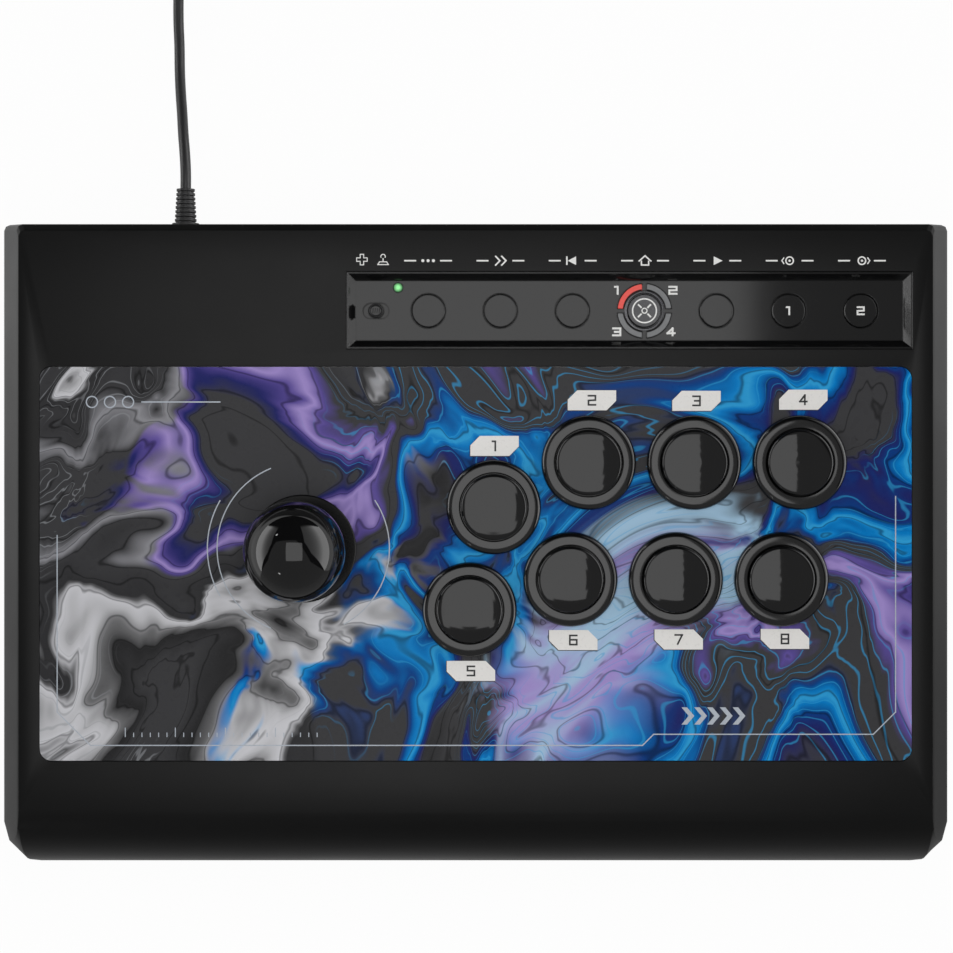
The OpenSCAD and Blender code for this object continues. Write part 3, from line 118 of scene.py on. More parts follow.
# Materials
class Nodes:
    """A material's node tree, with short calls for the nodes used here."""

    def __init__(self, name):
        self.mat = bpy.data.materials.new(name)
        self.mat.use_nodes = True
        self.tree = self.mat.node_tree
        self.tree.nodes.clear()
        self.out = self.new("ShaderNodeOutputMaterial")
        self.bsdf = self.new("ShaderNodeBsdfPrincipled")
        self.link(self.bsdf.outputs[0], self.out.inputs[0])
        self.place = self.new("ShaderNodeTexCoord").outputs["Object"]

    def new(self, kind):
        return self.tree.nodes.new(kind)

    def link(self, a, b):
        self.tree.links.new(a, b)

    def put(self, socket, value):
        if isinstance(value, bpy.types.NodeSocket):
            self.link(value, socket)
        else:
            socket.default_value = value

    def noise(self, scale, detail=3, rough=0.5, vector=None, distortion=0.0):
        n = self.new("ShaderNodeTexNoise")
        self.link(vector or self.place, n.inputs["Vector"])
        n.inputs["Scale"].default_value = scale
        n.inputs["Detail"].default_value = detail
        n.inputs["Roughness"].default_value = rough
        n.inputs["Distortion"].default_value = distortion
        return n

    def math(self, op, a, b=0.0, clamp=False):
        n = self.new("ShaderNodeMath")
        n.operation = op
        n.use_clamp = clamp
        self.put(n.inputs[0], a)
        self.put(n.inputs[1], b)
        return n.outputs[0]

    def swing(self, value, share):
        """The value's swing about one half, times share."""
        return self.math("MULTIPLY", self.math("SUBTRACT", value, 0.5), share)

    def step(self, value, low, high, to_low=0.0, to_high=1.0):
        n = self.new("ShaderNodeMapRange")
        n.interpolation_type = "SMOOTHSTEP"
        self.put(n.inputs["Value"], value)
        n.inputs["From Min"].default_value = low
        n.inputs["From Max"].default_value = high
        n.inputs["To Min"].default_value = to_low
        n.inputs["To Max"].default_value = to_high
        return n.outputs[0]

    def vector(self, op, a, b):
        n = self.new("ShaderNodeVectorMath")
        n.operation = op
        self.put(n.inputs[0], a)
        self.put(n.inputs["Scale"] if op == "SCALE" else n.inputs[1], b)
        return n.outputs[0]

    def mix(self, share, a, b, blend="MIX"):
        n = self.new("ShaderNodeMix")
        n.data_type = "RGBA"
        n.blend_type = blend
        self.put(n.inputs[0], share)
        self.put(n.inputs[6], a)
        self.put(n.inputs[7], b)
        return n.outputs[2]

    def ramp(self, value, stops, mode="LINEAR"):
        n = self.new("ShaderNodeValToRGB")
        n.color_ramp.interpolation = mode
        self.put(n.inputs[0], value)
        e = n.color_ramp.elements
        while len(e) > 1:
            e.remove(e[-1])
        e[0].position, e[0].color = stops[0][0], (*stops[0][1], 1)
        for pos, col in stops[1:]:
            e.new(pos).color = (*col, 1)
        return n.outputs[0]

    def distance(self, vector, point):
        n = self.new("ShaderNodeVectorMath")
        n.operation = "DISTANCE"
        self.put(n.inputs[0], vector)
        self.put(n.inputs[1], point)
        return n.outputs["Value"]

    def xyz(self, vector=None):
        n = self.new("ShaderNodeSeparateXYZ")
        self.link(vector or self.place, n.inputs[0])
        return n.outputs

    def bump(self, height, distance, edge=0.0):
        """Relief of the given depth in metres, over edges eased by the radius edge."""
        n = self.new("ShaderNodeBump")
        self.put(n.inputs["Height"], height)
        n.inputs["Distance"].default_value = distance
        n.inputs["Strength"].default_value = 1.0
        if edge:
            b = self.new("ShaderNodeBevel")
            b.samples = 4
            b.inputs["Radius"].default_value = edge
            self.link(b.outputs[0], n.inputs["Normal"])
        self.link(n.outputs[0], self.bsdf.inputs["Normal"])


def surface(name, color, rough, metal=0.0, grain=1500, depth=0.00002, spread=0.12, mottle=60, edge=0.0003,
            rough_spread=0.08, sheen=0.0, stretch=None, level=0.5):
    """Moulded, painted or plated surface: fine grain, slight colour and gloss changes, eased edges."""
    n = Nodes(name)
    place = n.place
    if stretch:
        place = n.vector("MULTIPLY", n.place, stretch)
    broad = n.noise(mottle, 4, 0.55)
    fine = n.noise(grain, 2, 0.6, place)
    dark = tuple(c * (1 - spread) for c in color)
    light = tuple(min(1.0, c * (1 + spread)) for c in color)
    n.link(n.mix(broad.outputs[0], (*dark, 1), (*light, 1)), n.bsdf.inputs["Base Color"])
    mixed = n.math("ADD", n.math("MULTIPLY", broad.outputs[0], 0.6),
                   n.math("MULTIPLY", fine.outputs[0], 0.4))
    n.link(n.step(mixed, 0.3, 0.7, max(rough - rough_spread, 0.01), rough + rough_spread),
           n.bsdf.inputs["Roughness"])
    n.bsdf.inputs["Metallic"].default_value = metal
    n.bsdf.inputs["Specular IOR Level"].default_value = level
    n.bsdf.inputs["Sheen Weight"].default_value = sheen
    n.bump(fine.outputs[0], depth, edge)
    return n


def gloss(name, color, rough=0.05, edge=0.00025, haze=0.012, level=0.5):
    """Polished plastic with faint dust and hair scratches in its gloss."""
    n = Nodes(name)
    dust = n.noise(420, 3, 0.7)
    broad = n.noise(35, 3, 0.5)
    lines = n.noise(60, 2, 0.5, n.vector("MULTIPLY", n.place, (40, 3, 12)))
    n.link(n.mix(broad.outputs[0], (*color, 1), (*tuple(c * 1.3 for c in color), 1)),
           n.bsdf.inputs["Base Color"])
    scuff = n.math("ADD", n.step(dust.outputs[0], 0.62, 0.75, 0, haze * 3),
                   n.step(lines.outputs[0], 0.66, 0.72, 0, haze * 2))
    n.link(n.math("ADD", scuff, n.step(broad.outputs[0], 0.3, 0.7, rough, rough + haze)),
           n.bsdf.inputs["Roughness"])
    n.bsdf.inputs["Specular IOR Level"].default_value = level
    n.bump(broad.outputs[0], 0.000004, edge)
    return n


def print_ink(name, color, rough=0.4):
    """Pad print, with a slightly uneven edge of gloss."""
    n = Nodes(name)
    fine = n.noise(900, 3, 0.6)
    n.link(n.mix(fine.outputs[0], (*tuple(c * 0.94 for c in color), 1), (*color, 1)),
           n.bsdf.inputs["Base Color"])
    n.link(n.step(fine.outputs[0], 0.3, 0.7, rough - 0.06, rough + 0.06), n.bsdf.inputs["Roughness"])
    n.bump(fine.outputs[0], 0.000004)
    return n


def board(name):
    """Lacquered circuit board, with tracks and pads."""
    n = Nodes(name)
    cells = n.new("ShaderNodeTexVoronoi")
    cells.distance = "MANHATTAN"
    cells.feature = "DISTANCE_TO_EDGE"
    n.link(n.place, cells.inputs["Vector"])
    cells.inputs["Scale"].default_value = 260
    spots = n.new("ShaderNodeTexVoronoi")
    n.link(n.place, spots.inputs["Vector"])
    spots.inputs["Scale"].default_value = 170
    fine = n.noise(700, 3)
    tracks = n.step(cells.outputs["Distance"], 0.05, 0.08)
    green = n.mix(tracks, (0.03, 0.17, 0.06, 1), (0.008, 0.07, 0.025, 1))
    pads = n.step(spots.outputs["Distance"], 0.14, 0.18)
    n.link(n.mix(pads, (0.55, 0.5, 0.38, 1), green), n.bsdf.inputs["Base Color"])
    n.link(n.step(fine.outputs[0], 0.3, 0.7, 0.25, 0.4), n.bsdf.inputs["Roughness"])
    n.bump(tracks, 0.00003)
    return n


def weave(name, color):
    """Woven strap."""
    n = Nodes(name)
    x, y, z = n.xyz()
    warp = n.math("SINE", n.math("MULTIPLY", n.math("ADD", x, z), 9000))
    weft = n.math("SINE", n.math("MULTIPLY", y, 9000))
    height = n.math("MAXIMUM", warp, weft)
    # Darker in the hollows between the threads: painted shade
    n.link(n.mix(n.step(height, 0.2, 1.0), (*tuple(c * 0.5 for c in color), 1), (*color, 1)),
           n.bsdf.inputs["Base Color"])
    n.bsdf.inputs["Roughness"].default_value = 0.85
    n.bsdf.inputs["Sheen Weight"].default_value = 0.3
    n.bump(height, 0.00008)
    return n


def lamp_lens(name, node, color, rim, power, rough=0.12):
    """Lit plastic lens, bright in its middle and dark at its rim; the glow is the lamp's own light, and
    the dark rim in its colour is painted shade of a domed lens.
    """
    n = Nodes(name)
    low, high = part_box(node)
    mid = ((low.x + high.x) / 2, (low.y + high.y) / 2, high.z)
    fine = n.noise(600, 2)
    far = n.math("ADD", n.distance(n.place, mid), n.math("MULTIPLY", fine.outputs[0], 0.0003))
    # Colour and glow fade from the middle to a dark rim: the dark rim is painted shade of the dome
    lit = n.mix(n.step(far, 0.0004, (high.x - low.x) / 2), (*color, 1), (*rim, 1))
    n.link(lit, n.bsdf.inputs["Base Color"])
    n.link(lit, n.bsdf.inputs["Emission Color"])
    n.bsdf.inputs["Emission Strength"].default_value = power
    n.link(n.step(fine.outputs[0], 0.3, 0.7, rough, rough + 0.05), n.bsdf.inputs["Roughness"])
    n.bump(fine.outputs[0], 0.000006)
    return n


CASE_BLACK = (0.001, 0.00105, 0.0011)
GLOSS_BLACK = (0.0035, 0.0035, 0.0037)
case_mat = surface("case_plastic", CASE_BLACK, 0.36, grain=2600, depth=0.000012, mottle=14, edge=0.0004,
                   rough_spread=0.05, spread=0.15, level=0.25).mat
base_mat = surface("base_plastic", (0.01, 0.01, 0.0105), 0.5, grain=1500, depth=0.00002, mottle=20).mat
rubber_mat = surface("rubber", (0.012, 0.012, 0.012), 0.75, grain=1100, depth=0.00004, sheen=0.1).mat
oxide_mat = surface("black_oxide", (0.06, 0.06, 0.065), 0.35, 1.0, grain=900, stretch=(1, 14, 1)).mat
zinc_mat = surface("zinc_plate", (0.5, 0.5, 0.49), 0.32, 1.0, grain=500, mottle=120,
                   stretch=(1, 18, 1)).mat
steel_mat = surface("ground_steel", (0.56, 0.56, 0.57), 0.24, 1.0, grain=700, stretch=(1, 1, 16)).mat
spring_mat = surface("spring_wire", (0.5, 0.5, 0.5), 0.3, 1.0, grain=1600).mat
board_mat = board("circuit_board").mat
black_mat = surface("moulded_black", (0.014, 0.014, 0.015), 0.45, grain=1300).mat
red_mat = surface("moulded_red", (0.19, 0.022, 0.014), 0.42, grain=1300).mat
milk_mat = surface("acetal", (0.66, 0.66, 0.62), 0.38, grain=900, spread=0.04).mat
wire_mat = surface("wire_jacket", (0.2, 0.014, 0.012), 0.5, grain=900).mat
gloss_mat = gloss("polished_black", GLOSS_BLACK).mat
bezel_mat = gloss("bezel_gloss", GLOSS_BLACK, rough=0.1, level=0.66).mat
ball_mat = gloss("ball_gloss", GLOSS_BLACK, rough=0.03, edge=0).mat
strip_mat = gloss("strip_gloss", GLOSS_BLACK, rough=0.09, edge=0.0006).mat
key_mat = gloss("key_gloss", GLOSS_BLACK, rough=0.08, edge=0.0005).mat
home_mat = surface("home_metal", (0.085, 0.085, 0.088), 0.26, 1.0, grain=1800, spread=0.05,
                   depth=0.000006, edge=0.0002).mat
washer_mat = surface("washer_plastic", (0.002, 0.002, 0.0021), 0.22, grain=1400, depth=0.000008,
                     level=0.15).mat
relief_mat = surface("relief_rubber", (0.02, 0.02, 0.021), 0.42, grain=1400, depth=0.00001,
                     edge=0.0002).mat
jacket_mat = surface("cable_jacket", (0.02, 0.02, 0.021), 0.38, grain=1800, depth=0.00001, edge=0).mat
grip_mat = surface("plug_grip", (0.013, 0.013, 0.0135), 0.4, grain=1500, depth=0.00002).mat
shell_mat = surface("plug_shell", (0.62, 0.62, 0.61), 0.2, 1.0, grain=800, stretch=(14, 1, 1)).mat
strap_mat = weave("tie_strap", (0.02, 0.02, 0.021)).mat
led_mat = lamp_lens("green_lens", "status_led", (0.19, 0.64, 0.22), (0.01, 0.09, 0.02), 0.7).mat
white_ink = print_ink("white_ink", (0.82, 0.82, 0.8)).mat
plate_mat = print_ink("label_white", (0.78, 0.765, 0.74), 0.32).mat
dark_ink_and_shadow = print_ink("dark_ink_and_shadow", (0.012, 0.012, 0.013)).mat
faint_ink = print_ink("faint_ink", (0.42, 0.46, 0.52), 0.3).mat
collar_mat = surface("dark_chrome", (0.1, 0.1, 0.105), 0.22, 1.0, grain=900, spread=0.05).mat
cable_obj.data.materials.append(jacket_mat)


def ring_material():
    """Light pipe: the quarter at the rear left is lit, the others are smoked."""
    n = Nodes("ring_light")
    x, y = n.xyz()[:2]
    low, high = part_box("player_light_ring")
    mid = (low + high) / 2
    lit = n.math("MULTIPLY", n.math("LESS_THAN", x, mid.x), n.math("GREATER_THAN", y, mid.y))
    fine = n.noise(700, 2)
    # Painted shade along both edges, where the pipe turns down beside its seat
    r = n.distance(n.place, (mid.x, mid.y, high.z))
    inner, outer = 0.0077, (high.x - low.x) / 2 - 0.0004
    core = n.math("MULTIPLY", n.step(r, inner, inner + 0.0003), n.step(r, outer - 0.0003, outer, 1, 0))
    grey = n.mix(fine.outputs[0], (0.13, 0.135, 0.14, 1), (0.18, 0.185, 0.19, 1))
    tint = n.mix(lit, grey, (0.4, 0.03, 0.02, 1))
    # The base colour turns near black at both edges: painted shade
    n.link(n.mix(core, (0.01, 0.01, 0.01, 1), tint), n.bsdf.inputs["Base Color"])
    n.link(n.mix(lit, (0, 0, 0, 1), (0.75, 0.045, 0.03, 1)), n.bsdf.inputs["Emission Color"])
    n.link(n.math("MULTIPLY", core, 0.45), n.bsdf.inputs["Emission Strength"])
    n.link(n.math("ADD", n.math("MULTIPLY", core, 0.42), 0.08), n.bsdf.inputs["Specular IOR Level"])
    n.link(n.step(fine.outputs[0], 0.3, 0.7, 0.12, 0.2), n.bsdf.inputs["Roughness"])
    n.bump(fine.outputs[0], 0.000006)
    return n.mat


def art_material():
    """Printed panel: marbled ink in charcoal, blue, violet, lilac and ice, under a glossy face."""
    n = Nodes("marbled_panel")
    # The ink is carried twice: by a broad drift and by a smaller curl
    half = (0.5, 0.5, 0.5)
    drift = n.vector("SUBTRACT", n.noise(7, 1, 0.5).outputs[1], half)
    p1 = n.vector("ADD", n.place, n.vector("SCALE", drift, 0.16))
    curl = n.vector("SUBTRACT", n.noise(17, 2, 0.5, p1).outputs[1], half)
    p2 = n.vector("ADD", p1, n.vector("SCALE", curl, 0.05))
    flow = n.noise(8.0, 3, 0.45, p2, 0.9).outputs[0]
    veins = n.noise(17, 3, 0.5, p2, 1.2).outputs[0]
    x, y = n.xyz()[:2]
    slope = n.math("ADD", n.math("MULTIPLY", x, -0.35), n.math("MULTIPLY", y, 0.55))
    field = n.math("ADD", n.math("ADD", flow, slope), n.swing(veins, 0.22))
    coal, indigo, deep = (0.045, 0.045, 0.048), (0.012, 0.016, 0.12), (0.001, 0.045, 0.22)
    blue, sky, ice = (0.0, 0.2, 0.55), (0.03, 0.34, 0.66), (0.36, 0.55, 0.72)
    violet, lilac = (0.1, 0.07, 0.3), (0.36, 0.27, 0.6)
    ink = n.ramp(field, [
        (0.27, coal), (0.395, coal), (0.42, indigo), (0.442, deep), (0.462, blue), (0.474, sky),
        (0.486, blue), (0.505, deep), (0.525, coal), (0.57, coal), (0.592, violet), (0.612, lilac),
        (0.632, violet), (0.655, indigo), (0.68, coal)])
    # A pale pool at the front, in the middle of the buttons' side
    pool = n.distance(p2, (0.05, -0.053, 0.058))
    pool = n.math("ADD", pool, n.swing(veins, 0.11))
    pale = n.mix(n.step(veins, 0.4, 0.62), (*ice, 1), (*lilac, 1))
    ink = n.mix(n.step(pool, 0.058, 0.036), ink, pale)
    wave = n.math("FRACT", n.math("MULTIPLY", field, 26))
    edge = n.step(n.math("ABSOLUTE", n.math("SUBTRACT", wave, 0.5)), 0.0, 0.1, 0.45, 1.0)
    # Fine pale threads that follow the flow, in patches
    strand = n.math("FRACT", n.math("MULTIPLY", n.math("ADD", field, n.math("MULTIPLY", flow, 0.6)), 38))
    thread = n.step(n.math("ABSOLUTE", n.math("SUBTRACT", strand, 0.5)), 0.02, 0.1, 0.5, 0)
    thread = n.math("MULTIPLY", thread, n.step(n.noise(11, 2, 0.5, p2).outputs[0], 0.46, 0.56))
    lined = n.mix(1.0, n.mix(thread, ink, (*sky, 1)), edge, "MULTIPLY")
    grey_ramp = n.ramp(field, [
        (0.33, coal), (0.4, (0.02, 0.02, 0.021)), (0.435, (0.16, 0.16, 0.165)), (0.46, (0.5, 0.5, 0.52)),
        (0.48, (0.62, 0.62, 0.65)), (0.492, (0.12, 0.12, 0.125)), (0.5, (0.03, 0.03, 0.032)),
        (0.56, coal), (0.59, (0.26, 0.26, 0.28)), (0.63, coal)])
    smoke = n.mix(1.0, n.mix(thread, grey_ramp, (0.3, 0.31, 0.33, 1)), edge, "MULTIPLY")
    # The left part is printed in greys, past a border that sways with the flow
    border = n.math("ADD", x, n.math("ADD", n.swing(flow, 0.42), n.swing(veins, 0.3)))
    n.link(n.mix(n.step(border, -0.082, -0.058), smoke, lined), n.bsdf.inputs["Base Color"])
    fine = n.noise(260, 3)
    n.link(n.step(fine.outputs[0], 0.3, 0.7, 0.26, 0.32), n.bsdf.inputs["Roughness"])
    n.bsdf.inputs["Specular IOR Level"].default_value = 0.06
    n.bump(fine.outputs[0], 0.000003, 0.0002)
    return n.mat


ring_mat = ring_material()
art_mat = art_material()

LOOKS = {
    "top_case": case_mat, "bottom_case": base_mat, "rubber_feet": rubber_mat, "case_screws": oxide_mat,
    "mounting_plate": zinc_mat, "plate_screws": oxide_mat, "art_panel": art_mat,
    "control_fascia": strip_mat, "control_board": board_mat, "control_switches": black_mat,
    "main_board": board_mat, "board_screws": steel_mat, "status_led": led_mat,
    "player_light_ring": ring_mat, "mode_switch_knob": key_mat, "button_switches": black_mat,
    "wiring_harness": wire_mat,
    "ball_top": ball_mat, "lever_shaft": steel_mat, "shaft_cover": gloss_mat, "dust_washer": washer_mat,
    "lever_mount_plate": zinc_mat, "lever_housing": black_mat, "lever_pivot": milk_mat,
    "lever_spring": spring_mat, "lever_actuator": black_mat, "lever_e_clip": oxide_mat,
    "restrictor_gate": milk_mat, "lever_board": board_mat, "lever_switches": red_mat,
    "lever_screws": steel_mat, "strain_relief": relief_mat, "usb_cable": jacket_mat,
    "usb_cable_coil": jacket_mat, "cable_tie": strap_mat, "usb_plug_body": grip_mat,
    "usb_plug_shell": shell_mat,
}
KEYS = ["key_1", "key_2", "key_3", "home_key", "key_5", "key_6", "key_7"]
for i in range(1, 9):
    LOOKS["button_%d_bezel" % i] = bezel_mat
    LOOKS["button_%d_plunger" % i] = gloss_mat
for k in KEYS:
    LOOKS[k] = home_mat if k == "home_key" else key_mat

# Folds of the housing that are eased, and edges that stay sharp in the shading
EASED_FOLD, EASED_W = math.radians(14), 0.0005
SHARP_EDGE, SHARP_RING = math.radians(28), math.radians(32)
WELD_GAP = 0.000002

for name, obj in nodes.items():
    obj.data.materials.clear()
    obj.data.materials.append(LOOKS[name])
    for p in obj.data.polygons:
        p.use_smooth = True
    weld = obj.modifiers.new("weld", "WELD")
    weld.merge_threshold = WELD_GAP
    if name == "top_case":
        bevel = obj.modifiers.new("bevel", "BEVEL")
        bevel.width = EASED_W
        bevel.segments = 3
        bevel.limit_method = "ANGLE"
        bevel.angle_limit = EASED_FOLD
    split = obj.modifiers.new("split", "EDGE_SPLIT")
    split.split_angle = SHARP_EDGE


# Flat prints and small details
def mesh_piece(name, bm, material, body="case", smooth=False):
    bmesh.ops.recalc_face_normals(bm, faces=bm.faces)
    mesh = bpy.data.meshes.new(name)
    bm.to_mesh(mesh)
    bm.free()
    for p in mesh.polygons:
        p.use_smooth = smooth
    mesh.materials.append(material)
    obj = bpy.data.objects.new(name, mesh)
    scene.collection.objects.link(obj)
    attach(obj, body)
    return obj


def add_prism(bm, outline, z0, z1):
    """outline in millimetres, counterclockwise; heights in millimetres."""
    low = [bm.verts.new((x * MM, y * MM, z0 * MM)) for x, y in outline]
    high = [bm.verts.new((x * MM, y * MM, z1 * MM)) for x, y in outline]
    bm.faces.new(high)
    bm.faces.new(low[::-1])
    n = len(outline)
    for i in range(n):
        bm.faces.new((low[i], low[(i + 1) % n], high[(i + 1) % n], high[i]))


def add_stroke(bm, a, b, width, z0, z1, cap=0.5):
    """A straight stroke, topping out a little higher than the last, so that crossings have one face."""
    z1 += 0.002 * (len(bm.faces) // 6 % 9)
    d = Vector((b[0] - a[0], b[1] - a[1]))
    d.normalize()
    s = Vector((-d.y, d.x)) * width / 2
    a = Vector(a) - d * width * cap
    b = Vector(b) + d * width * cap
    add_prism(bm, [a - s, b - s, b + s, a + s], z0, z1)


def add_polyline(bm, points, width, z0, z1, close=False):
    pairs = list(zip(points, points[1:]))
    if close:
        pairs.append((points[-1], points[0]))
    for a, b in pairs:
        add_stroke(bm, a, b, width, z0, z1)


def add_arc(bm, mid, r, a0, a1, width, z0, z1, steps=None):
    steps = steps or max(6, int(abs(a1 - a0) / 4))
    ring = []
    for i in range(steps + 1):
        a = math.radians(a0 + (a1 - a0) * i / steps)
        ring.append((math.cos(a), math.sin(a)))
    outer = [(mid[0] + (r + width / 2) * c, mid[1] + (r + width / 2) * s) for c, s in ring]
    inner = [(mid[0] + (r - width / 2) * c, mid[1] + (r - width / 2) * s) for c, s in ring]
    for i in range(steps):
        add_prism(bm, [inner[i], outer[i], outer[i + 1], inner[i + 1]], z0, z1)


def around(mid, points):
    """Points given from mid, in millimetres."""
    return [(mid[0] + x, mid[1] + y) for x, y in points]


# Lines of each number, as shares of its width and height
DIGITS = {
    "1": [[(0.2, 1), (0.6, 1), (0.6, 0)]],
    "2": [[(0, 1), (1, 1), (1, 0.52), (0, 0.48), (0, 0), (1, 0)]],
    "3": [[(0, 1), (1, 1), (1, 0), (0, 0)], [(0.25, 0.5), (1, 0.5)]],
    "4": [[(0.72, 1), (0, 0.3), (1, 0.3)], [(0.72, 1), (0.72, 0)]],
    "5": [[(1, 1), (0, 1), (0, 0.53), (1, 0.53), (1, 0), (0, 0)]],
    "6": [[(1, 1), (0, 1), (0, 0), (1, 0), (1, 0.53), (0, 0.53)]],
    "7": [[(0, 1), (1, 1), (0.35, 0)]],
    "8": [[(0, 0), (0, 1), (1, 1), (1, 0), (0, 0)], [(0, 0.5), (1, 0.5)]],
}


def add_digit(bm, text, mid, w, h, stroke, z0, z1):
    for line in DIGITS[text]:
        points = around(mid, [((x - 0.5) * (w - stroke), (y - 0.5) * (h - stroke)) for x, y in line])
        add_polyline(bm, points, stroke, z0, z1)


def middle(node):
    """Middle of a node seen from above, in millimetres."""
    low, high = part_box(node)
    return ((low.x + high.x) / 2 / MM, (low.y + high.y) / 2 / MM)


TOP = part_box("art_panel")[1].z / MM
# Lower and upper side of a print, over the face that it lies on
PRINT_LOW, PRINT_HIGH = 0.005, 0.03
# Offsets of the label plates from their buttons
PLATE_SHIFTS = [(0.3, 22.0), (1.2, 22.4), (0.9, 22.2), (1.4, 22.6),
                (0.5, -22.1), (1.1, -21.9), (1.1, -21.7), (1.4, -21.5)]
PLATES = []
for i, (dx, dy) in enumerate(PLATE_SHIFTS):
    mid = middle("button_%d_bezel" % (i + 1))
    PLATES.append((mid[0] + dx, mid[1] + dy))


# Half width, half height and cut corner of a label plate, its thickness and the shift of its dark rim,
# which is a painted shadow at the plate's left and lower edges
PLATE_W, PLATE_H, PLATE_CUT, PLATE_T = 8.7, 3.6, 3.4, 0.2
SHADOW_SHIFT, SHADOW_GROWTH, SHADOW_T = (-0.12, -0.14), (1.016, 1.035), 0.06
NUMBER_W, NUMBER_H, NUMBER_STROKE = 3.1, 3.9, 0.62


def label_plates():
    plates, marks, shadow_sheets = bmesh.new(), bmesh.new(), bmesh.new()
    w, h, cut = PLATE_W, PLATE_H, PLATE_CUT
    for i, (x, y) in enumerate(PLATES):
        if i < 4:
            shape = [(-w, -h), (w - cut, -h), (w, -h + cut), (w, h), (-w + cut, h), (-w, h - cut)]
        else:
            shape = [(-w + cut, -h), (w, -h), (w, h - cut), (w - cut, h), (-w, h), (-w, -h + cut)]
        add_prism(plates, around((x, y), shape), TOP + 0.01, TOP + PLATE_T)
        # A dark sheet under each plate, a little larger and shifted left and down: painted shadow of the
        # raised plate
        rim = [(a * SHADOW_GROWTH[0], b * SHADOW_GROWTH[1]) for a, b in shape]
        add_prism(shadow_sheets, around((x + SHADOW_SHIFT[0], y + SHADOW_SHIFT[1]), rim), TOP + PRINT_LOW, TOP + SHADOW_T)
        add_digit(marks, str(i + 1), (x, y), NUMBER_W, NUMBER_H, NUMBER_STROKE,
                  TOP + PLATE_T - 0.01, TOP + PLATE_T + PRINT_HIGH)
    mesh_piece("label_plates", plates, plate_mat)
    mesh_piece("label_plate_shadows", shadow_sheets, dark_ink_and_shadow)
    mesh_piece("label_numbers", marks, dark_ink_and_shadow)


# The panel's rules, ticks and arrows, in millimetres
RULE_W, RULE_LEFT, RULE_RIGHT, RULE_LOW, STEP_X = 0.4, 150.5, 151.0, 65.3, 60
TICK_X, TICK_PITCH = -126, 3
ARROW_X, ARROW_W, ARROW_Y, ARROW_H = 74, 4.6, 10.6, 3.1
DOTS_Y = 58.2


def panel_lines():
    """Thin white rules, arcs and ticks of the panel's own print."""
    bm = bmesh.new()
    z0, z1, t = TOP + PRINT_LOW, TOP + PRINT_HIGH, RULE_W
    mid_x, mid_y = middle("art_panel")
    left, right, low = mid_x - RULE_LEFT, mid_x + RULE_RIGHT, mid_y - RULE_LOW
    frame_line = [(left, mid_y + 10.2), (left, low + 12), (left + 12, low), (STEP_X, low),
                  (STEP_X + 4, low + 4), (right - 8, low + 4), (right, low + 12), (right, mid_y + 24.2)]
    add_polyline(bm, frame_line, t, z0, z1)
    # Radius, start and end of each arc round the lever
    for r, a0, a1 in [(31, 112, 248), (34.5, 150, 210), (31, -62, 34)]:
        add_arc(bm, middle("ball_top"), r, a0, a1, t, z0, z1)
    for i in range(24):
        x = TICK_X + i * TICK_PITCH
        add_stroke(bm, (x, low + 3), (x, low + (6.4 if i % 6 == 0 else 4.6)), 0.34, z0, z1, 0)
    for i in range(5):
        x = ARROW_X + i * ARROW_W
        y = low + ARROW_Y
        add_prism(bm, [(x, y - ARROW_H), (x + 2.0, y - ARROW_H), (x + ARROW_W, y), (x + 2.0, y + ARROW_H),
                       (x, y + ARROW_H), (x + 2.6, y)], z0, z1)
    y = mid_y + DOTS_Y
    for i in range(3):
        add_arc(bm, (-138 + i * 6.5, y), 2.0, 0, 360, 0.45, z0, z1, 28)
    add_stroke(bm, (-120, y), (-92, y), 0.45, z0, z1)
    mesh_piece("panel_rules", bm, faint_ink)


STRIP_Y = middle("home_key")[1]
KEY_X = [middle(k)[0] for k in KEYS]
KEY_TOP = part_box("home_key")[1].z / MM
# The strip's floor, below the keys' tops
STRIP_FLOOR = KEY_TOP - 0.3
MODE = middle("mode_switch_knob")
MODE_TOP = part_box("mode_switch_knob")[1].z / MM
MODE_WIDE = 1.14
# Stroke, half height and place of the signs behind the keys
SIGN_W, SIGN_H, SIGN_Y = 0.55, 1.55, 17.8
CROSS_X, LAMP_X, LAMP_Y = -40.9, -33.3, 18.2


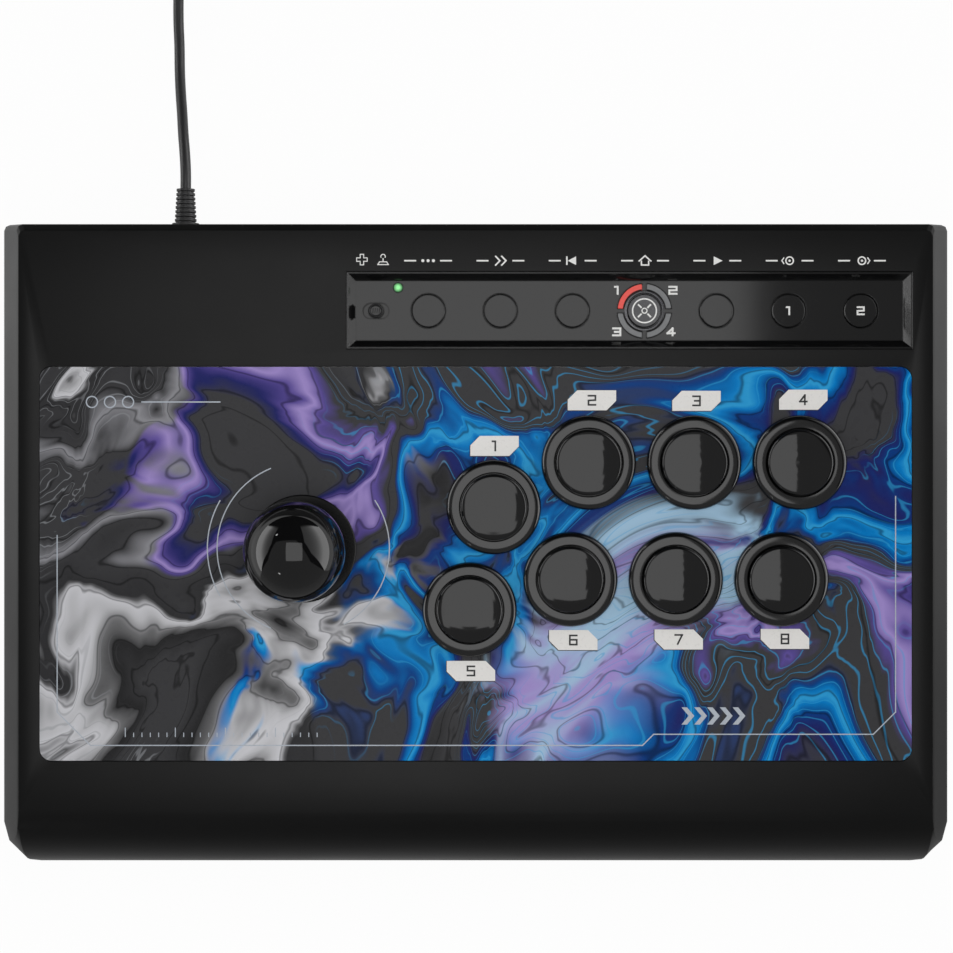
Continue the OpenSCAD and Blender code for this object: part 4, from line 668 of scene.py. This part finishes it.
def strip_marks():
    """Simple signs above the keys, on the case, and the numbers in the strip."""
    bm = bmesh.new()
    z0, z1 = TOP + PRINT_LOW, TOP + PRINT_HIGH
    y, h, t = STRIP_Y + SIGN_Y, SIGN_H, SIGN_W
    for i, x in enumerate(KEY_X):
        for s in (-1, 1):
            add_stroke(bm, (x + s * 4.3, y), (x + s * 8.6, y), t, z0, z1, 0)
        if i == 0:
            for d in (-1.9, 0, 1.9):
                add_arc(bm, (x + d, y), 0.28, 0, 360, 0.56, z0, z1, 16)
        elif i == 1:
            for d in (-1.7, 0.5):
                add_polyline(bm, [(x + d, y + h), (x + d + 1.5, y), (x + d, y - h)], t, z0, z1)
        elif i == 2:
            add_prism(bm, [(x + 1.2, y - h), (x + 1.2, y + h), (x - 1.8, y)], z0, z1)
            add_stroke(bm, (x - 2.1, y - h + 0.27), (x - 2.1, y + h - 0.27), t, z0, z1)
        elif i == 3:
            add_polyline(bm, [(x - 2.1, y - 0.1), (x, y + h + 0.2), (x + 2.1, y - 0.1)], 0.5, z0, z1)
            add_polyline(bm, [(x - 1.3, y - 0.2), (x - 1.3, y - h), (x + 1.3, y - h), (x + 1.3, y - 0.2)],
                         0.5, z0, z1)
        elif i == 4:
            add_prism(bm, [(x - 1.3, y - h), (x + 1.9, y), (x - 1.3, y + h)], z0, z1)
        else:
            add_arc(bm, (x, y), 1.35, 0, 360, 0.5, z0, z1, 28)
            add_arc(bm, (x, y), 0.22, 0, 360, 0.44, z0, z1, 14)
            d = 1 if i == 6 else -1
            add_polyline(bm, around((x, y), [(d * 2.1, 1.0), (d * 2.8, 0), (d * 2.1, -1.0)]), 0.4, z0, z1)
    # A cross behind the mode switch and a lamp behind the green light
    a, b = 0.62, 1.9
    cross = [(-a, b), (a, b), (a, a), (b, a), (b, -a), (a, -a), (a, -b), (-a, -b), (-a, -a), (-b, -a),
             (-b, a), (-a, a)]
    add_polyline(bm, around((CROSS_X, STRIP_Y + LAMP_Y), cross), 0.32, z0, z1, True)
    x, y = LAMP_X, STRIP_Y + LAMP_Y
    add_arc(bm, (x, y + 1.1), 0.8, -30, 210, 0.34, z0, z1)
    add_polyline(bm, [(x, y + 0.3), (x, y - 0.7)], 0.4, z0, z1)
    base = [(-1.9, -1.8), (-1.3, -0.8), (1.3, -0.8), (1.9, -1.8)]
    add_polyline(bm, around((x, y), base), 0.34, z0, z1, True)
    home = KEY_X[3]
    z0, z1 = STRIP_FLOOR + PRINT_LOW, STRIP_FLOOR + PRINT_HIGH
    for text, dx, dy in [("1", -9.9, 7.4), ("2", 10.3, 7.4), ("3", -10.0, -7.6), ("4", 9.6, -7.6)]:
        add_digit(bm, text, (home + dx, STRIP_Y + dy), 3.3, 3.2, 0.7, z0, z1)
    mesh_piece("printed_signs", bm, white_ink)
    z0, z1 = KEY_TOP + 0.002, KEY_TOP + PRINT_HIGH
    for text, i in [("1", 5), ("2", 6)]:
        bm = bmesh.new()
        add_digit(bm, text, (KEY_X[i], STRIP_Y), 2.9, 3.2, NUMBER_STROKE, z0, z1)
        mesh_piece("key_number_" + text, bm, white_ink, KEYS[i])
    bm = bmesh.new()
    add_arc(bm, (home, STRIP_Y), 4.3, 0, 360, 0.5, z0, z1, 56)
    for a in range(45, 405, 90):
        c, s = math.cos(math.radians(a)), math.sin(math.radians(a))
        a, b = around((home, STRIP_Y), [(1.5 * c, 1.5 * s), (3.3 * c, 3.3 * s)])
        add_stroke(bm, a, b, 0.6, z0, z1, 0)
    add_arc(bm, (home, STRIP_Y), 0.9, 0, 360, 0.4, z0, z1, 28)
    mesh_piece("home_sign", bm, white_ink, "home_key")


def turned(name, profile, mid, material, body="case", segments=96, wide=1.0):
    """A closed ring turned from a profile of (radius, height) in millimetres, wider along x by wide."""
    bm = bmesh.new()
    rings = []
    for i in range(segments):
        a = 2 * math.pi * i / segments
        ring = [(mid[0] + r * math.cos(a) * wide, mid[1] + r * math.sin(a), z) for r, z in profile]
        rings.append([bm.verts.new([c * MM for c in point]) for point in ring])
    n = len(profile)
    for i in range(segments):
        a, b = rings[i], rings[(i + 1) % segments]
        for k in range(n):
            bm.faces.new((a[k], b[k], b[(k + 1) % n], a[(k + 1) % n]))
    obj = mesh_piece(name, bm, material, body, True)
    split = obj.modifiers.new("split", "EDGE_SPLIT")
    split.split_angle = SHARP_RING


def home_collar():
    z = STRIP_FLOOR
    profile = [(6.4, z + 0.005), (7.3, z + 0.005), (7.3, z + 0.16), (7.2, z + 0.26), (7.0, z + 0.3),
               (6.6, z + 0.3), (6.4, z + 0.16)]
    turned("home_collar", profile, (KEY_X[3], STRIP_Y), collar_mat)


def knob_grip():
    """Raised rim round a dish with low ribs, on the mode switch's cap."""
    bm = bmesh.new()
    z = MODE_TOP
    x, y = MODE
    for dx in (-1.1, -0.35, 0.4, 1.15):
        add_stroke(bm, (x + dx, y - 0.9), (x + dx + 0.2, y + 0.9), 0.3, z - 0.01, z + 0.16, 0)
    mesh_piece("mode_knob_ribs", bm, black_mat, "mode_switch")
    profile = [(1.6, z - 0.01), (2.42, z - 0.01), (2.38, z + 0.2), (2.2, z + 0.5), (2.02, z + 0.56),
               (1.84, z + 0.3)]
    turned("mode_knob_rim", profile, (x, y), black_mat, "mode_switch", 48, wide=MODE_WIDE)


label_plates()
panel_lines()
strip_marks()
home_collar()
knob_grip()


# Floor, studio dome and fill light
def floor():
    bm = bmesh.new()
    half = 20
    corners = ((-half, -half, 0), (half, -half, 0), (half, half, 0), (-half, half, 0))
    bm.faces.new([bm.verts.new(p) for p in corners])
    mesh = bpy.data.meshes.new("floor")
    bm.to_mesh(mesh)
    bm.free()
    obj = bpy.data.objects.new("floor", mesh)
    scene.collection.objects.link(obj)
    n = Nodes("floor_white")
    grain = n.noise(30, 3)
    white = n.mix(grain.outputs[0], (0.84, 0.84, 0.84, 1), (0.86, 0.86, 0.86, 1))
    n.link(white, n.bsdf.inputs["Base Color"])
    n.bsdf.inputs["Roughness"].default_value = 0.9
    path = n.new("ShaderNodeLightPath")
    gloss_ray = path.outputs["Is Glossy Ray"]
    seen = n.math("MAXIMUM", path.outputs["Is Camera Ray"], gloss_ray)
    seen = n.math("MAXIMUM", seen, path.outputs["Is Transmission Ray"])
    x, y = n.xyz()[:2]
    # What glossy rays see of the floor: white far away, and dimmer in front and at both sides
    front_glow, left_glow, right_glow = 0.33, (0.35, 0.65), (0.19, 0.53)
    out_x = n.math("ABSOLUTE", x)
    left = n.step(y, -0.1, 0.12, *left_glow)
    right = n.step(y, -0.1, 0.12, *right_glow)
    more = n.math("MULTIPLY", n.math("LESS_THAN", x, 0.0), n.math("SUBTRACT", left, right))
    side = n.math("ADD", right, more)
    side = n.math("ADD", side, n.math("MULTIPLY", n.step(out_x, 0.3, 0.5), n.math("SUBTRACT", 1.0, side)))
    front = n.step(n.math("ADD", y, n.math("MULTIPLY", out_x, 0.62)), -0.02, 0.02)
    near = n.math("ADD", front_glow, n.math("MULTIPLY", front, n.math("SUBTRACT", side, front_glow)))
    # Dark behind the stick, which its rear bevel mirrors
    behind = n.math("MULTIPLY", n.step(y, 0.2, 0.3), n.step(out_x, 0.35, 0.6, 1, 0))
    near = n.math("MULTIPLY", near, n.math("SUBTRACT", 1.0, n.math("MULTIPLY", behind, 0.9)))
    glow = n.new("ShaderNodeEmission")
    glow.inputs["Color"].default_value = (1, 1, 1, 1)
    n.link(n.math("ADD", 1.0, n.math("MULTIPLY", gloss_ray, n.math("SUBTRACT", near, 1.0))),
           glow.inputs["Strength"])
    both = n.new("ShaderNodeMixShader")
    n.link(n.math("MULTIPLY", seen, 0.96), both.inputs[0])
    n.link(n.bsdf.outputs[0], both.inputs[1])
    n.link(glow.outputs[0], both.inputs[2])
    n.link(both.outputs[0], n.out.inputs[0])
    mesh.materials.append(n.mat)


def dome():
    """Studio dome: a dim front card between two tall side panels, and plain white for the camera."""
    world = bpy.data.worlds.new("studio")
    scene.world = world
    world.use_nodes = True
    n = Nodes.__new__(Nodes)
    n.tree = world.node_tree
    n.tree.nodes.clear()
    out = n.new("ShaderNodeOutputWorld")
    back = n.new("ShaderNodeBackground")
    n.link(back.outputs[0], out.inputs[0])
    n.place = n.new("ShaderNodeTexCoord").outputs["Generated"]
    x, y, z = n.xyz()
    # Where a ray meets a plane one metre above the stick; the edges of card and panels bend at bend_x
    up = n.math("MAXIMUM", z, 0.03)
    px = n.math("DIVIDE", x, up)
    py = n.math("DIVIDE", y, up)
    mid_x, bend_x, steep, flat = -0.32, 1.25, 1.35, 0.62
    reach = n.math("ABSOLUTE", n.math("SUBTRACT", px, mid_x))
    fall = n.math("ADD", n.math("MULTIPLY", n.math("MINIMUM", reach, bend_x), steep),
                  n.math("MULTIPLY", n.math("MAXIMUM", n.math("SUBTRACT", reach, bend_x), 0.0), flat))
    cross = n.math("ADD", py, fall)
    front = n.math("MULTIPLY", n.step(cross, 1.16, 1.24, 1, 0), n.step(py, 0.5, 0.56, 1, 0))
    side = n.math("MULTIPLY", n.step(reach, 0.84, 0.9), n.step(cross, 1.62, 1.7))
    # The panels end before the rear, so that the rear bevel stays dark
    side = n.math("MULTIPLY", side, n.step(n.math("SUBTRACT", py, reach), 0.6, 1.4, 1, 0))
    front_power = 0.3
    side_power = n.step(reach, 0.8, 4.0, 0.6, 3.2)
    total = n.math("ADD", n.math("MULTIPLY", front, front_power), n.math("MULTIPLY", side, side_power))
    # Two small round lamps
    dot_power = 9
    for dot in ((-0.95, 1.05), (-0.82, -1.28)):
        d = n.math("SQRT", n.math("ADD", n.math("POWER", n.math("SUBTRACT", px, dot[0]), 2.0),
                                  n.math("POWER", n.math("SUBTRACT", py, dot[1]), 2.0)))
        total = n.math("ADD", total, n.step(d, 0.06, 0.09, dot_power, 0))
    path = n.new("ShaderNodeLightPath")
    seen = path.outputs["Is Camera Ray"]
    n.link(n.math("ADD", n.math("MULTIPLY", total, n.math("SUBTRACT", 1.0, seen)), seen),
           back.inputs["Strength"])
    back.inputs["Color"].default_value = (1, 1, 1, 1)


SOFT_BOX_SIZE, SOFT_BOX_X, SOFT_BOX_RISE = (0.372, 0.416), -0.0146, 0.6


def soft_box():
    """Rectangular soft box close above the stick, which its flat gloss mirrors."""
    data = bpy.data.lights.new("soft_box", "AREA")
    data.shape = "RECTANGLE"
    data.size, data.size_y = SOFT_BOX_SIZE
    data.energy = 0.69
    obj = bpy.data.objects.new("soft_box", data)
    obj.location = (SOFT_BOX_X, VIEW_Y, TOP * MM + SOFT_BOX_RISE)
    obj.visible_camera = False
    scene.collection.objects.link(obj)


FILL_SIZE, FILL_AT = 1.6, (0, 0.03, 1.9)


def fill():
    data = bpy.data.lights.new("fill", "AREA")
    data.shape = "SQUARE"
    data.size = FILL_SIZE
    data.energy = 9.0
    obj = bpy.data.objects.new("fill", data)
    obj.location = FILL_AT
    obj.visible_glossy = False
    scene.collection.objects.link(obj)


floor()
dome()
soft_box()
fill()
scene.view_settings.view_transform = "Standard"

bpy.context.view_layer.update()
